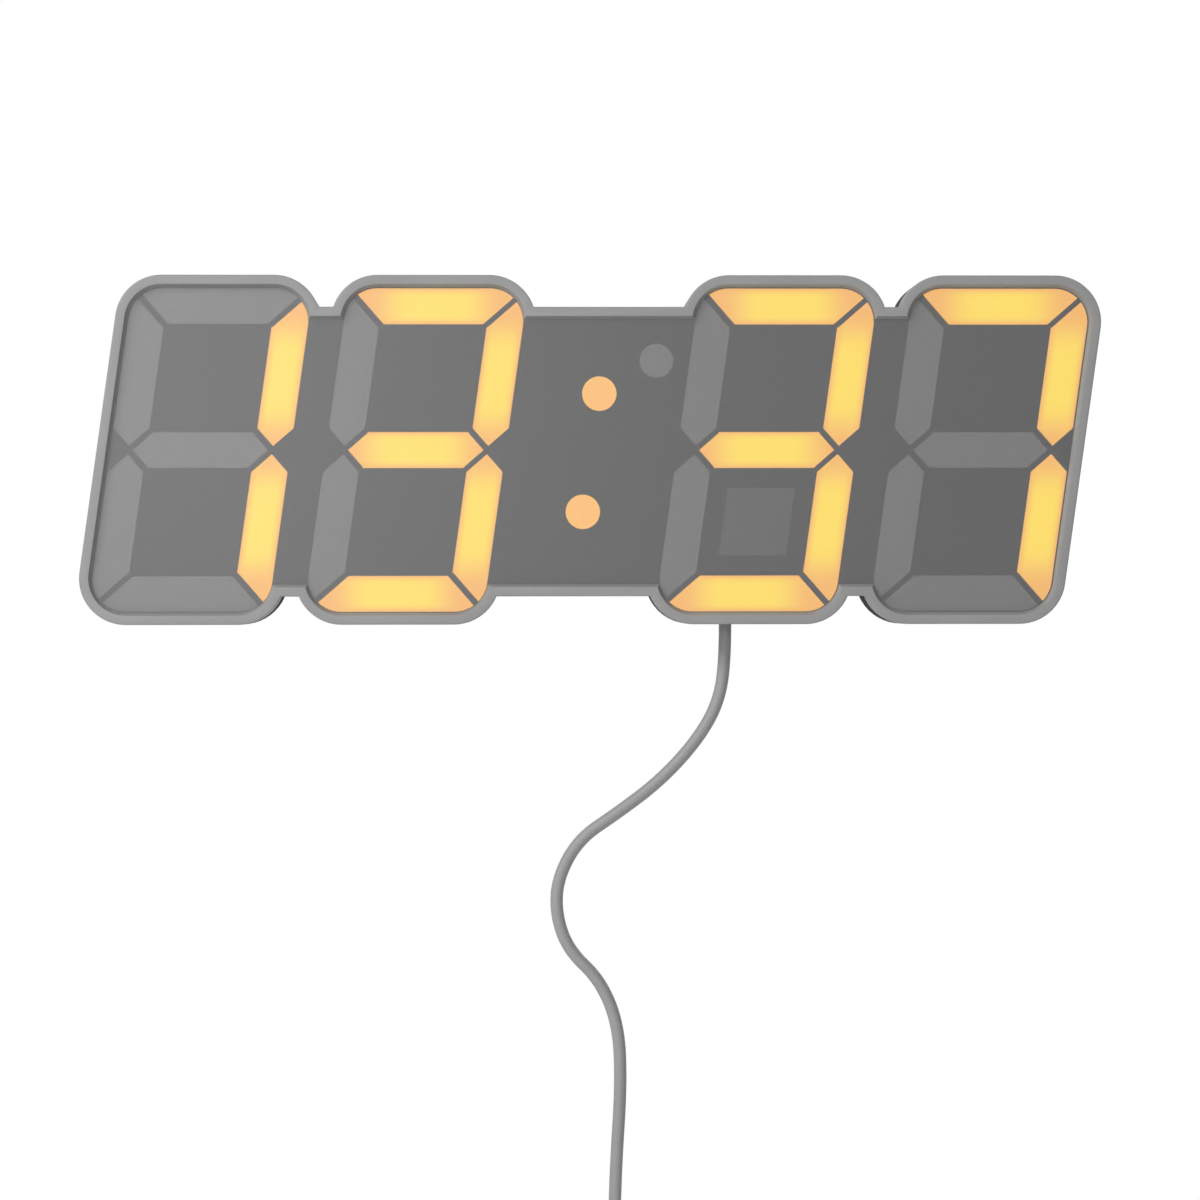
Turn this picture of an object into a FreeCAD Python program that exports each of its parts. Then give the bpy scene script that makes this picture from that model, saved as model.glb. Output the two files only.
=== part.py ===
import FreeCAD, Part
import math
import os
import Sketcher

# LED wall clock: one panel that follows the outline of four slanted digits.
# Millimetres. +X is to the right seen from the front, +Z is up, the front faces -Y and
# the wall is the plane Y = 0. "Height" below always means the distance off the wall.

DRIVING_SIZES = {
    # Front outline: four slanted lobes, two pairs, joined by a band
    "slant_angle": 8,
    "lobe_width": 72.4,
    "lobe_tall": 123,
    "corner_radius": 16.35,
    "pair_pitch": 75.7,
    "group_pitch": 199.5,
    "band_above": 50.3,
    "band_below": 51.6,
    # Depth of the case and its two mouldings
    "case_depth": 28,
    "frame_depth": 8,
    "rim_width": 3.4,
    "rim_bevel": 0.7,
    "lens_recess": 1.5,
    "seat_wall": 1.5,
    "sheet_clearance": 0.15,
    "lens_thick": 1.5,
    "mask_thick": 0.5,
    # Segments of one digit
    "digit_width": 63.4,
    "digit_tall": 114,
    "digit_corner": 11.7,
    "stroke": 12.7,
    "mitre_gap": 2.8,
    "mitre_run_out": 1,
    "diffuser_thick": 2,
    "diffuser_play": 0.1,
    "diffuser_ledge": 0.8,
    # Colon, degree dot and sensor window, placed along the slant
    "dot_radius": 6.1,
    "colon_above": 19.9,
    "colon_below": 21.8,
    "degree_across": 18.5,
    "degree_above": 31.5,
    "sensor_side": 24,
    # Light boxes and board
    "reflector_inset": 2.6,
    "centre_block_half": 26.5,
    "centre_block_above": 38.5,
    "board_inset": 4.5,
    "board_thick": 1.6,
    "parts_gap": 6.4,
    "led_long": 3.5,
    "led_wide": 2.8,
    "led_high": 0.8,
    "led_pitch": 13,
    # Rear shell
    "shell_wall": 2.4,
    "shell_floor": 2,
    "shell_edge": 1.2,
    "tongue_inset": 1.6,
    "tongue_high": 1.5,
    "tongue_play": 0.3,
    # Screws, and their bosses in both mouldings
    "boss_from_edge": 8,
    "boss_inner": 20,
    "boss_radius": 3,
    "boss_web": 3,
    "post_radius": 4.4,
    "screw_radius": 1.45,
    "screw_bite": 0.05,
    "screw_play": 0.25,
    "screw_head_radius": 2.8,
    "screw_head_high": 2,
    "screw_sink": 3,
    "screw_reach": 15,
    "screw_tip_gap": 2.5,
    # Keyholes
    "keyhole_pitch": 240,
    "keyhole_above": 26,
    "keyhole_entry": 4.5,
    "keyhole_slot": 4.6,
    "keyhole_run": 9,
    "keyhole_room": 5,
    "keyhole_margin": 2,
    "keyhole_wall": 1,
    # Buttons and their switches
    "button_pitch": 13,
    "button_across": 62,
    "button_below": 34,
    "button_radius": 3,
    "button_play": 0.25,
    "button_sink": 1.5,
    "button_margin": 3,
    "button_inside_wall": 0.4,
    "button_flange": 4,
    "button_flange_high": 0.8,
    "button_rest_gap": 0.15,
    "plunger_radius": 1.4,
    "plunger_reach": 1.8,
    "switch_side": 6,
    "switch_high": 3,
    "switch_floor": 0.8,
    "switch_bore": 1.75,
    # Coin cell, its holder and its quarter-turn cap
    "cell_across": 18,
    "cell_below": 26,
    "cell_radius": 10,
    "cell_thick": 3.2,
    "cell_lid": 0.4,
    "cell_lid_step": 1,
    "holder_floor": 1.6,
    "holder_wall": 1.4,
    "holder_play": 0.2,
    "cap_radius": 12,
    "cap_play": 0.3,
    "cap_behind_wall": 0.2,
    "cap_thick": 2,
    "cap_hub_radius": 8.5,
    "cap_lug_reach": 1.6,
    "cap_lug_high": 1.1,
    "cap_lug_root": 1,
    "cap_lug_angle": 36,
    "cap_notch_angle": 42,
    "cap_turn": 60,
    "cap_slot_half": 9,
    "cap_slot_wide": 2,
    "cap_slot_deep": 1.2,
    # Vents and sound holes
    "vent_wide": 1.6,
    "vent_tall": 18,
    "vent_pitch": 4,
    "vent_across": 62,
    "vent_above": 20,
    "sound_hole": 1,
    "sound_ring": 4,
    # What the board carries: size of each piece and its place from the middle of the clock
    "chip_leg_reach": 1,
    "chip_leg_wide": 0.4,
    "chip_leg_high": 0.9,
    "chip_round": 0.3,
    "controller_side": 10,
    "controller_high": 1.6,
    "controller_above": 12,
    "clock_chip_wide": 4,
    "clock_chip_tall": 5,
    "clock_chip_across": 34,
    "clock_chip_above": 8,
    "driver_wide": 7.6,
    "driver_tall": 15,
    "driver_high": 2.4,
    "driver_across": 92,
    "driver_above": 2,
    "crystal_radius": 1,
    "crystal_long": 6,
    "crystal_above": 1,
    "crystal_lead": 1.5,
    "buzzer_across": 118,
    "buzzer_below": 24,
    "buzzer_radius": 6,
    "buzzer_high": 5,
    "probe_radius": 2.2,
    "probe_high": 4.6,
    "supply_below": 40,
    "regulator_across": 66,
    "regulator_wide": 6.6,
    "regulator_tall": 6.1,
    "regulator_high": 2.3,
    "regulator_tab": 1.8,
    "regulator_tab_high": 0.6,
    "capacitor_across": 80,
    "capacitor_pitch": 8,
    "capacitor_radius": 2.5,
    "capacitor_high": 5.4,
    "sensor_pitch": 11,
    "receiver_side": 5,
    "receiver_high": 3,
    "receiver_dome": 1.9,
    "light_sensor_radius": 2.5,
    "light_sensor_high": 2,
    # Supply leads, cord exit and the relief moulded on the cord's end
    "socket_above_exit": 14.5,
    "socket_wide": 7.5,
    "socket_tall": 6,
    "socket_high": 5,
    "lead_radius": 0.7,
    "lead_pitch": 2.5,
    "cord_diameter": 4.5,
    "cord_exit_across": 48.2,
    "cord_exit_height": 5.2,
    "relief_neck": 6,
    "relief_flange": 12,
    "relief_flange_thick": 1.5,
    # The cord's put-away coil with its tie
    "coil_outer_radius": 35,
    "coil_step": 5,
    "coil_half_turns": 7,
    "coil_lead": 5,
    "coil_tail": 23,
    "tie_wide": 7,
    "tie_thick": 0.8,
    "tie_play": 0.3,
    # The plug at the cord's end
    "plug_neck_radius": 3.4,
    "plug_neck_long": 6,
    "plug_grip_long": 24,
    "plug_grip_wide": 15.5,
    "plug_grip_high": 7.6,
    "plug_grip_round": 2.5,
    "plug_shell_wide": 12,
    "plug_shell_high": 4.5,
    "plug_shell_long": 18,
    "plug_shell_wall": 0.35,
    "plug_shell_round": 0.6,
    "plug_tongue_thick": 1.8,
    "plug_tongue_long": 16,
}

# The cord hangs down from its exit: points from the exit, across, up and off the wall
CORD_ROUTE = [
    (0, 0, 0),
    (0, -14.9, 0),
    (-2.9, -29.7, -0.1),
    (-11.3, -43.3, -0.3),
    (-24.2, -56.9, -0.6),
    (-39.0, -67.9, -0.8),
    (-52.6, -77.1, -1.0),
    (-60.1, -91.1, -1.1),
    (-60.6, -104.1, -1.0),
    (-56.2, -116.6, -0.8),
    (-44.8, -127.4, -0.7),
    (-38.2, -143.7, -0.9),
    (-37.4, -165.5, -1.1),
    (-39.2, -192.5, -1.3),
    (-40.0, -219.0, -1.3),
    (-40.0, -241.5, -1.3),
]

doc = FreeCAD.newDocument("LedWallClock")
sheet = doc.addObject("Spreadsheet::Sheet", "Sizes")
for row, (name, number) in enumerate(DRIVING_SIZES.items(), start=1):
    sheet.set("A%d" % row, str(number))
    sheet.setAlias("A%d" % row, name)
doc.recompute()

NODES = []


def expand(formula):
    """Write a formula of plain size names the way the document reads it."""
    words = []
    word = ""
    for sign in str(formula) + " ":
        if sign.isalnum() or sign in "_.":
            word += sign
            continue
        words.append("Sizes." + word if word in DRIVING_SIZES else word)
        words.append(sign)
        word = ""
    return "".join(words).strip()


def value(formula):
    """The number that a formula in the sheet's sizes gives."""
    return float(sheet.evalExpression(expand(formula)))


# Heights off the wall, worked out from the driving sizes
LENS_FRONT = "(case_depth - lens_recess)"
LENS_BACK = "(case_depth - lens_recess - lens_thick)"
MASK_BACK = "(case_depth - lens_recess - lens_thick - mask_thick)"
DIFFUSER_BACK = "(case_depth - lens_recess - lens_thick - diffuser_thick)"
FRAME_BACK = "(case_depth - frame_depth)"
BOARD_BACK = "(shell_floor + parts_gap)"
BOARD_FRONT = "(shell_floor + parts_gap + board_thick)"
FLANGE_BACK = "(shell_floor + button_sink + button_rest_gap)"
CELL_BACK = "(shell_floor + parts_gap - holder_floor - cell_thick)"
CAP_LUG_BACK = "(cap_behind_wall + cap_thick)"

# Places and slopes, worked out from the driving sizes
SHEET_INSET = "(seat_wall + sheet_clearance)"
LEAN = "tan(slant_angle * 1deg)"
UPRIGHT = "cos(slant_angle * 1deg)"
OUTER_LOBE = "((group_pitch + pair_pitch) / 2)"
INNER_LOBE = "((group_pitch - pair_pitch) / 2)"
LOBE_CENTRES = ["-" + OUTER_LOBE, "-" + INNER_LOBE, INNER_LOBE, OUTER_LOBE]
CELL_PLACE = ("-cell_across", "-cell_below")
SENSOR_MIDDLE = "(digit_tall / 4 - stroke / 4)"
BOTTOM = "(-lobe_tall / 2)"
COIL_ACROSS = "(cord_exit_across %+g - coil_outer_radius)" % CORD_ROUTE[-1][0]
COIL_ABOVE = "(%s %+g - coil_lead)" % (BOTTOM, CORD_ROUTE[-1][1])
COIL_HEIGHT = "(cord_exit_height %+g)" % CORD_ROUTE[-1][2]
PLUG_ACROSS = "(%s - coil_step - coil_tail)" % COIL_ACROSS
PLUG_ABOVE = "(%s - coil_outer_radius)" % COIL_ABOVE
PLUG_HEIGHT = "(%s + coil_step)" % COIL_HEIGHT

# A slot's end radius stays a touch under half its width, so that its sides keep their edges
SLOT_END = "0.49 * %s"
VENT_SLOTS = 6
SOUND_HOLES = 6
# How much of the shorter run beside a corner of the cord its bend may use, on each side
CORD_CUT = 0.45
# Slope of the bevels along the rim and round the shell's rear, in degrees
BEVEL_ANGLE = 45


def lean(across, above):
    """A point given by its place along the slant: its x at mid-height, and its z."""
    return ("(%s) + (%s) * %s" % (across, above, LEAN), "(%s)" % above)


def new_body(name):
    return doc.addObject("PartDesign::Body", name)


def origin_feature(body, role):
    return [item for item in body.Origin.OriginFeatures if item.Role == role][0]


def new_sketch(body, name, height, role="XZ_Plane"):
    """A sketch parallel to an origin plane; on XZ it lies this far off the wall."""
    sketch = body.newObject("Sketcher::SketchObject", name)
    sketch.AttachmentSupport = [(origin_feature(body, role), "")]
    sketch.MapMode = "FlatFace"
    sketch.setExpression("AttachmentOffset.Base.z", expand(height))
    return sketch


def bind(sketch, constraints):
    """Add constraints, each with the formula that drives it, or None."""
    first = sketch.ConstraintCount
    sketch.addConstraint([constraint for constraint, formula in constraints])
    for number, (constraint, formula) in enumerate(constraints, start=first):
        if formula is not None:
            sketch.setExpression("Constraints[%d]" % number, expand(formula))


def held_at(geometry, end, x, z):
    """Two constraints that hold a point of the sketch at formulas for x and z."""
    across = Sketcher.Constraint("DistanceX", -1, 1, geometry, end, value(x))
    above = Sketcher.Constraint("DistanceY", -1, 1, geometry, end, value(z))
    return [(across, x), (above, z)]


def draw_circle(sketch, x, z, radius):
    centre = FreeCAD.Vector(value(x), value(z), 0)
    circle = Part.Circle(centre, FreeCAD.Vector(0, 0, 1), value(radius))
    number = sketch.addGeometry(circle, False)
    bind(sketch, held_at(number, 3, x, z)
         + [(Sketcher.Constraint("Radius", number, value(radius)), radius)])


def draw_polygon(sketch, corners):
    """A closed outline of straight lines through the corners."""
    spots = [FreeCAD.Vector(value(x), value(z), 0) for x, z in corners]
    following = spots[1:] + spots[:1]
    lines = sketch.addGeometry([Part.LineSegment(a, b) for a, b in zip(spots, following)], False)
    constraints = []
    for line, after, corner in zip(lines, lines[1:] + lines[:1], corners):
        constraints.append((Sketcher.Constraint("Coincident", line, 2, after, 1), None))
        constraints += held_at(line, 1, *corner)
    bind(sketch, constraints)


def draw_rounded(sketch, corners, radius):
    """A closed convex outline, counter-clockwise, with every corner rounded alike."""
    spots = [FreeCAD.Vector(value(x), value(z), 0) for x, z in corners]
    size = value(radius)
    arcs = []
    for before, spot, after in zip(spots[-1:] + spots[:-1], spots, spots[1:] + spots[:1]):
        back = (before - spot).normalize()
        ahead = (after - spot).normalize()
        half = back.getAngle(ahead) / 2
        centre = spot + (back + ahead).normalize() * (size / math.sin(half))
        start = spot + back * (size / math.tan(half)) - centre
        finish = spot + ahead * (size / math.tan(half)) - centre
        circle = Part.Circle(centre, FreeCAD.Vector(0, 0, 1), size)
        arcs.append(Part.ArcOfCircle(circle, math.atan2(start.y, start.x), math.atan2(finish.y, finish.x)))
    arc_numbers = sketch.addGeometry(arcs, False)
    followers = arcs[1:] + arcs[:1]
    sides = [Part.LineSegment(arc.EndPoint, after.StartPoint) for arc, after in zip(arcs, followers)]
    side_numbers = sketch.addGeometry(sides, False)
    point_numbers = sketch.addGeometry([Part.Point(spot) for spot in spots], True)
    constraints = []
    for index, corner in enumerate(corners):
        arc = arc_numbers[index]
        side_in = side_numbers[index - 1]
        side_out = side_numbers[index]
        point = point_numbers[index]
        constraints.append((Sketcher.Constraint("Tangent", side_in, 2, arc, 1), None))
        constraints.append((Sketcher.Constraint("Tangent", arc, 2, side_out, 1), None))
        constraints.append((Sketcher.Constraint("Radius", arc, size), radius))
        constraints += held_at(point, 1, *corner)
        constraints.append((Sketcher.Constraint("PointOnObject", point, 1, side_in), None))
        constraints.append((Sketcher.Constraint("PointOnObject", point, 1, side_out), None))
    bind(sketch, constraints)


def upright_box(x, z, wide, tall):
    """Corners of an upright box about its middle, counter-clockwise from the lower left."""
    left = "(%s) - (%s) / 2" % (x, wide)
    right = "(%s) + (%s) / 2" % (x, wide)
    lower = "(%s) - (%s) / 2" % (z, tall)
    upper = "(%s) + (%s) / 2" % (z, tall)
    return [(left, lower), (right, lower), (right, upper), (left, upper)]


def slanted_box(centre, half_width, below, above):
    """Corners of a slanted box about a centre line, counter-clockwise from the lower left."""
    return [lean("%s - %s" % (centre, half_width), "-" + below),
            lean("%s + %s" % (centre, half_width), "-" + below),
            lean("%s + %s" % (centre, half_width), above),
            lean("%s - %s" % (centre, half_width), above)]


def grow(body, kind, name, sketch, length, taper=None):
    """A Pad or a Pocket that runs from its sketch towards the front by a length."""
    step = body.newObject("PartDesign::" + kind, name)
    step.Profile = sketch
    step.setExpression("Length", expand(length))
    step.Reversed = kind == "Pocket"
    if taper is not None:
        step.TaperAngle = taper
    sketch.Visibility = False
    body.Tip = step
    return step


def circles_step(body, kind, name, low, length, places, radius):
    """One Pad or Pocket of equal circles at several places."""
    sketch = new_sketch(body, name + "Sketch", low)
    for x, z in places:
        draw_circle(sketch, x, z, radius)
    return grow(body, kind, name, sketch, length)


def rounded_step(body, kind, name, low, length, boxes, radius):
    """One Pad or Pocket of rounded upright boxes, each given by its centre, width and height."""
    sketch = new_sketch(body, name + "Sketch", low)
    for box in boxes:
        draw_rounded(sketch, upright_box(*box), radius)
    return grow(body, kind, name, sketch, length)


def polygon_step(body, kind, name, low, length, outlines):
    """One Pad or Pocket of straight-sided outlines."""
    sketch = new_sketch(body, name + "Sketch", low)
    for corners in outlines:
        draw_polygon(sketch, corners)
    return grow(body, kind, name, sketch, length)


def repeat_lobes(body, step):
    """Copy the first lobe's step to all four lobes: along a pair, and from pair to pair."""
    row = body.newObject("PartDesign::LinearPattern", step.Name + "Row")
    row.Originals = [step]
    across = (origin_feature(body, "X_Axis"), [""])
    row.Direction = across
    row.setExpression("Length", expand("pair_pitch"))
    row.Occurrences = 2
    row.Direction2 = across
    row.setExpression("Length2", expand("group_pitch"))
    row.Occurrences2 = 2
    body.Tip = row
    return row


def lobe_corners(centre, inset):
    half_width = "(lobe_width / 2 - (%s) / %s)" % (inset, UPRIGHT)
    half_tall = "(lobe_tall / 2 - (%s))" % inset
    return slanted_box(centre, half_width, half_tall, half_tall)


def outline_steps(body, kind, tag, inset, low, high, taper=None):
    """Add or cut the whole panel outline, drawn in by an inset, between two heights.

    A taper in degrees lets the outline out towards the front, or draws it in where it is negative.
    """
    length = "(%s) - (%s)" % (high, low)
    below = "(band_below - (%s))" % inset
    above = "(band_above - (%s))" % inset
    band = new_sketch(body, tag + "BandSketch", low)
    draw_polygon(band, slanted_box("0", OUTER_LOBE, below, above))
    grow(body, kind, tag + "Band", band, length, taper)
    lobe = new_sketch(body, tag + "LobeSketch", low)
    draw_rounded(lobe, lobe_corners(LOBE_CENTRES[0], inset), "corner_radius - (%s)" % inset)
    repeat_lobes(body, grow(body, kind, tag + "Lobe", lobe, length, taper))


def finish_node(node, label):
    node.Label = label
    NODES.append(node)
    return node


def group(label, members):
    """Several separate solids that share one node."""
    compound = doc.addObject("Part::Compound", label.title().replace("_", ""))
    compound.Links = members
    return finish_node(compound, label)


def make_box(name, x, z, low, wide, tall, high):
    """A plain block centred at a place, from a height towards the front."""
    box = doc.addObject("Part::Box", name)
    box.setExpression("Length", expand(wide))
    box.setExpression("Width", expand(high))
    box.setExpression("Height", expand(tall))
    box.setExpression("Placement.Base.x", expand("%s - (%s) / 2" % (x, wide)))
    box.setExpression("Placement.Base.y", expand("-(%s) - (%s)" % (low, high)))
    box.setExpression("Placement.Base.z", expand("%s - (%s) / 2" % (z, tall)))
    return box


def cut_node(label, base, tool):
    """The base less the tool, as a node."""
    cut = doc.addObject("Part::Cut", label.title().replace("_", ""))
    cut.Base = base
    cut.Tool = tool
    return finish_node(cut, label)


def boss_places():
    """Centres of the eight screw bosses: the lower row from left to right, then the upper."""
    between_pairs = "(group_pitch / 2)"
    columns = ["-" + between_pairs, "-boss_inner", "boss_inner", between_pairs]
    rows = ["-(band_below - boss_from_edge)", "(band_above - boss_from_edge)"]
    return [lean(column, row) for row in rows for column in columns]


def boss_strips(half_width, lower_edge, upper_edge):
    """Upright strips of one width from every boss to the panel's edge below or above it."""
    strips = []
    for index, (x, z) in enumerate(boss_places()):
        low, high = (lower_edge, z) if index < 4 else (z, upper_edge)
        left = "(%s) - (%s)" % (x, half_width)
        right = "(%s) + (%s)" % (x, half_width)
        strips.append([(left, low), (right, low), (right, high), (left, high)])
    return strips


def bevelled_outline(body, kind, tag, inset, slope):
    """Add or cut the panel's outline through the frame; beside its front plane it slopes in or out."""
    edge = "(case_depth - rim_bevel)"
    outline_steps(body, kind, tag, inset, FRAME_BACK, edge)
    outline_steps(body, kind, tag + "Bevel", inset, edge, "case_depth", slope)


def make_front_frame():
    """Grey moulded frame: proud rim, seat for the lens behind it, and eight screw bosses."""
    body = new_body("FrontFrame")
    bevelled_outline(body, "Pad", "Frame", "0", -BEVEL_ANGLE)
    bevelled_outline(body, "Pocket", "Opening", "rim_width", BEVEL_ANGLE)
    outline_steps(body, "Pocket", "Seat", "seat_wall", FRAME_BACK, LENS_FRONT)
    boss_high = "%s - %s" % (MASK_BACK, BOARD_FRONT)
    circles_step(body, "Pad", "Bosses", BOARD_FRONT, boss_high, boss_places(), "boss_radius")
    webs = boss_strips("boss_web / 2", "-(band_below - seat_wall / 2)", "(band_above - seat_wall / 2)")
    polygon_step(body, "Pad", "Webs", FRAME_BACK, "%s - %s" % (MASK_BACK, FRAME_BACK), webs)
    pilot_depth = "screw_sink + screw_reach + screw_tip_gap - %s" % BOARD_FRONT
    circles_step(body, "Pocket", "Pilots", BOARD_FRONT, pilot_depth, boss_places(),
                 "screw_radius + screw_bite")
    finish_node(body, "front_frame")


def make_front_lens():
    """Smoke-grey window that sits in the frame's seat, behind the rim."""
    body = new_body("FrontLens")
    outline_steps(body, "Pad", "Lens", SHEET_INSET, LENS_BACK, LENS_FRONT)
    finish_node(body, "front_lens")


def segment_steps(body, tag, centre, low, high, growth):
    """The seven windows of one digit between two heights, each side moved out by a growth."""
    half_width = "(digit_width / 2 + (%s) / %s)" % (growth, UPRIGHT)
    half_tall = "(digit_tall / 2 + (%s))" % growth
    bar = "(stroke + (%s))" % growth
    loop_width = "(digit_width / 2 - %s / %s)" % (bar, UPRIGHT)
    length = "(%s) - (%s)" % (high, low)

    outline = new_sketch(body, tag + "OutlineSketch", low)
    draw_rounded(outline, slanted_box(centre, half_width, half_tall, half_tall),
                 "digit_corner + (%s)" % growth)
    grow(body, "Pad", tag + "Outline", outline, length)

    near = "(stroke / 2 + (%s))" % growth
    far = "(digit_tall / 2 - %s)" % bar
    polygon_step(body, "Pocket", tag + "Loops", low, length,
                 [slanted_box(centre, loop_width, "(-%s)" % near, far),
                  slanted_box(centre, loop_width, far, "(-%s)" % near)])

    # Mitres: a slanting gap at each corner, and an open X at each end of the middle bar
    gap = "(mitre_gap / 2 - (%s) * sqrt(2))" % growth
    reach = "(stroke / 2 + mitre_run_out)"
    middle = "(digit_width / 2 - stroke / 2 / %s)" % UPRIGHT
    outer = ("(digit_width / 2 + mitre_run_out / %s)" % UPRIGHT, "(digit_tall / 2 + mitre_run_out)")
    inner = ("(digit_width / 2 - (stroke + mitre_run_out) / %s)" % UPRIGHT,
             "(digit_tall / 2 - stroke - mitre_run_out)")
    notch = [("+ %s" % reach, "(%s + %s)" % (reach, gap)),
             ("", gap),
             ("- %s" % reach, "(%s + %s)" % (reach, gap)),
             ("- %s" % reach, "(%s - %s)" % (reach, gap)),
             ("- %s" % gap, "0"),
             ("- %s" % reach, "(%s - %s)" % (gap, reach)),
             ("- %s" % reach, "(-%s - %s)" % (reach, gap)),
             ("", "(-%s)" % gap),
             ("+ %s" % reach, "(-%s - %s)" % (reach, gap))]
    mitres = []
    for side in ("1 * ", "-"):
        for level in ("", "-"):
            corners = []
            for (across, above), shift in ((outer, "-"), (outer, "+"), (inner, "+"), (inner, "-")):
                corners.append(lean("%s + %s%s %s %s" % (centre, side, across, shift, gap), level + above))
            mitres.append(corners)
        corners = []
        for shift, above in notch:
            shift = "%s / %s" % (shift, UPRIGHT) if shift else ""
            corners.append(lean("%s + %s(%s %s)" % (centre, side, middle, shift), above))
        mitres.append(corners)
    polygon_step(body, "Pocket", tag + "Mitres", low, length, mitres)


def dot_places():
    """Centres of the two colon dots and of the degree dot."""
    return [lean("0", "colon_above"), lean("0", "-colon_below"), lean("degree_across", "degree_above")]


def sensor_square(centre, inset):
    """The slanted square window in the lower loop of the third digit."""
    half = "(sensor_side / 2 - %s)" % inset
    below = "(%s + %s)" % (SENSOR_MIDDLE, half)
    above = "(-%s + %s)" % (SENSOR_MIDDLE, half)
    return slanted_box(centre, half, below, above)


def make_segment_mask():
    """Dark sheet behind the lens that lets light through at the segments only."""
    blank = new_body("MaskBlank")
    outline_steps(blank, "Pad", "Mask", SHEET_INSET, MASK_BACK, LENS_BACK)
    circles_step(blank, "Pocket", "DotHoles", MASK_BACK, "mask_thick", dot_places(), "dot_radius")
    polygon_step(blank, "Pocket", "SensorHole", MASK_BACK, "mask_thick",
                 [sensor_square(LOBE_CENTRES[2], "0")])
    windows = new_body("MaskWindows")
    segment_steps(windows, "Window", LOBE_CENTRES[0], MASK_BACK, LENS_BACK, "0")
    row = repeat_lobes(windows, windows.Tip)
    row.TransformMode = "Whole shape"
    cut_node("segment_mask", blank, windows)


def make_diffusers():
    """Milky inserts that fill the windows: seven to a digit, and one to each dot."""
    segments = new_body("DigitSegments")
    segment_steps(segments, "Segment", "0", DIFFUSER_BACK, LENS_BACK, "-diffuser_play")
    for number, centre in enumerate(LOBE_CENTRES, start=1):
        digit = group("digit_%d_diffusers" % number, [segments])
        digit.setExpression("Placement.Base.x", expand(centre))
    for label, places in (("colon_diffusers", dot_places()[:2]), ("degree_diffuser", dot_places()[2:])):
        body = new_body(label.title().replace("_", ""))
        circles_step(body, "Pad", "Dots", DIFFUSER_BACK, "diffuser_thick", places,
                     "dot_radius - diffuser_play")
        finish_node(body, label)
    body = new_body("SensorWindow")
    polygon_step(body, "Pad", "Square", DIFFUSER_BACK, "diffuser_thick",
                 [sensor_square(LOBE_CENTRES[2], "diffuser_play")])
    finish_node(body, "sensor_window")


def make_reflectors():
    """White light boxes: a well behind every segment, with a ledge for its diffuser."""
    wells = new_body("DigitWells")
    segment_steps(wells, "Seat", "0", DIFFUSER_BACK, MASK_BACK, "0")
    segment_steps(wells, "Well", "0", BOARD_FRONT, DIFFUSER_BACK, "-diffuser_ledge")
    deep = "%s - %s" % (MASK_BACK, BOARD_FRONT)
    shallow = "%s - %s" % (MASK_BACK, DIFFUSER_BACK)
    for number, centre in enumerate(LOBE_CENTRES, start=1):
        block = new_body("Digit%dBlock" % number)
        outline = new_sketch(block, "BlockSketch", BOARD_FRONT)
        draw_rounded(outline, lobe_corners("0", "reflector_inset"), "corner_radius - reflector_inset")
        grow(block, "Pad", "Block", outline, deep)
        if number == 3:
            polygon_step(block, "Pocket", "SensorWell", BOARD_FRONT, deep,
                         [sensor_square("0", "diffuser_ledge")])
            polygon_step(block, "Pocket", "SensorSeat", DIFFUSER_BACK, shallow, [sensor_square("0", "0")])
        reflector = cut_node("digit_%d_reflector" % number, block, wells)
        reflector.setExpression("Placement.Base.x", expand(centre))
    body = new_body("CentreReflector")
    polygon_step(body, "Pad", "Block", BOARD_FRONT, deep,
                 [slanted_box("0", "centre_block_half", "centre_block_above", "centre_block_above")])
    circles_step(body, "Pocket", "Wells", BOARD_FRONT, deep, dot_places(), "dot_radius - diffuser_ledge")
    circles_step(body, "Pocket", "Seats", DIFFUSER_BACK, shallow, dot_places(), "dot_radius")
    finish_node(body, "centre_reflector")


def make_board():
    """Circuit board behind the light boxes, clamped by the screws."""
    body = new_body("DisplayBoard")
    outline_steps(body, "Pad", "Board", "board_inset", BOARD_BACK, BOARD_FRONT)
    circles_step(body, "Pocket", "Holes", BOARD_BACK, "board_thick", boss_places(),
                 "screw_radius + screw_play")
    finish_node(body, "display_board")


def make_leds():
    """Three chips behind every segment and one behind each dot, on the board's front."""
    bar_above = "(digit_tall / 2 - stroke / 2)"
    bar_across = "(digit_width / 2 - stroke / 2 / %s)" % UPRIGHT
    places = dot_places()
    for centre in LOBE_CENTRES:
        for step in ("-led_pitch", "0", "led_pitch"):
            for level in ("-" + bar_above, "0", bar_above):
                places.append(lean("%s + %s" % (centre, step), level))
            for side in ("-", "+"):
                for level in ("-%s / 2" % bar_above, "%s / 2" % bar_above):
                    places.append(lean("%s %s %s" % (centre, side, bar_across), "%s + %s" % (level, step)))
    chips = []
    for number, (x, z) in enumerate(places, start=1):
        chips.append(make_box("Led%d" % number, x, z, BOARD_FRONT, "led_long", "led_wide", "led_high"))
    group("segment_leds", chips)


def button_places():
    """Centres of the four push buttons, left to right seen from the front."""
    steps = (-1.5, -0.5, 0.5, 1.5)
    return [("-button_across %+.1f * button_pitch" % step, "-button_below") for step in steps]


def keyhole_sides():
    return ["-keyhole_pitch / 2", "keyhole_pitch / 2"]


def lug_corners(centre, turn, inner, outer, angle):
    """A straight-sided piece of a ring about a centre, turned from the +X direction."""
    corners = []
    for reach, side in ((inner, "-"), (outer, "-"), (outer, "+"), (inner, "+")):
        direction = "((%s) %s (%s) / 2) * 1deg" % (turn, side, angle)
        corners.append(("%s + (%s) * cos(%s)" % (centre[0], reach, direction),
                        "%s + (%s) * sin(%s)" % (centre[1], reach, direction)))
    return corners


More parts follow.
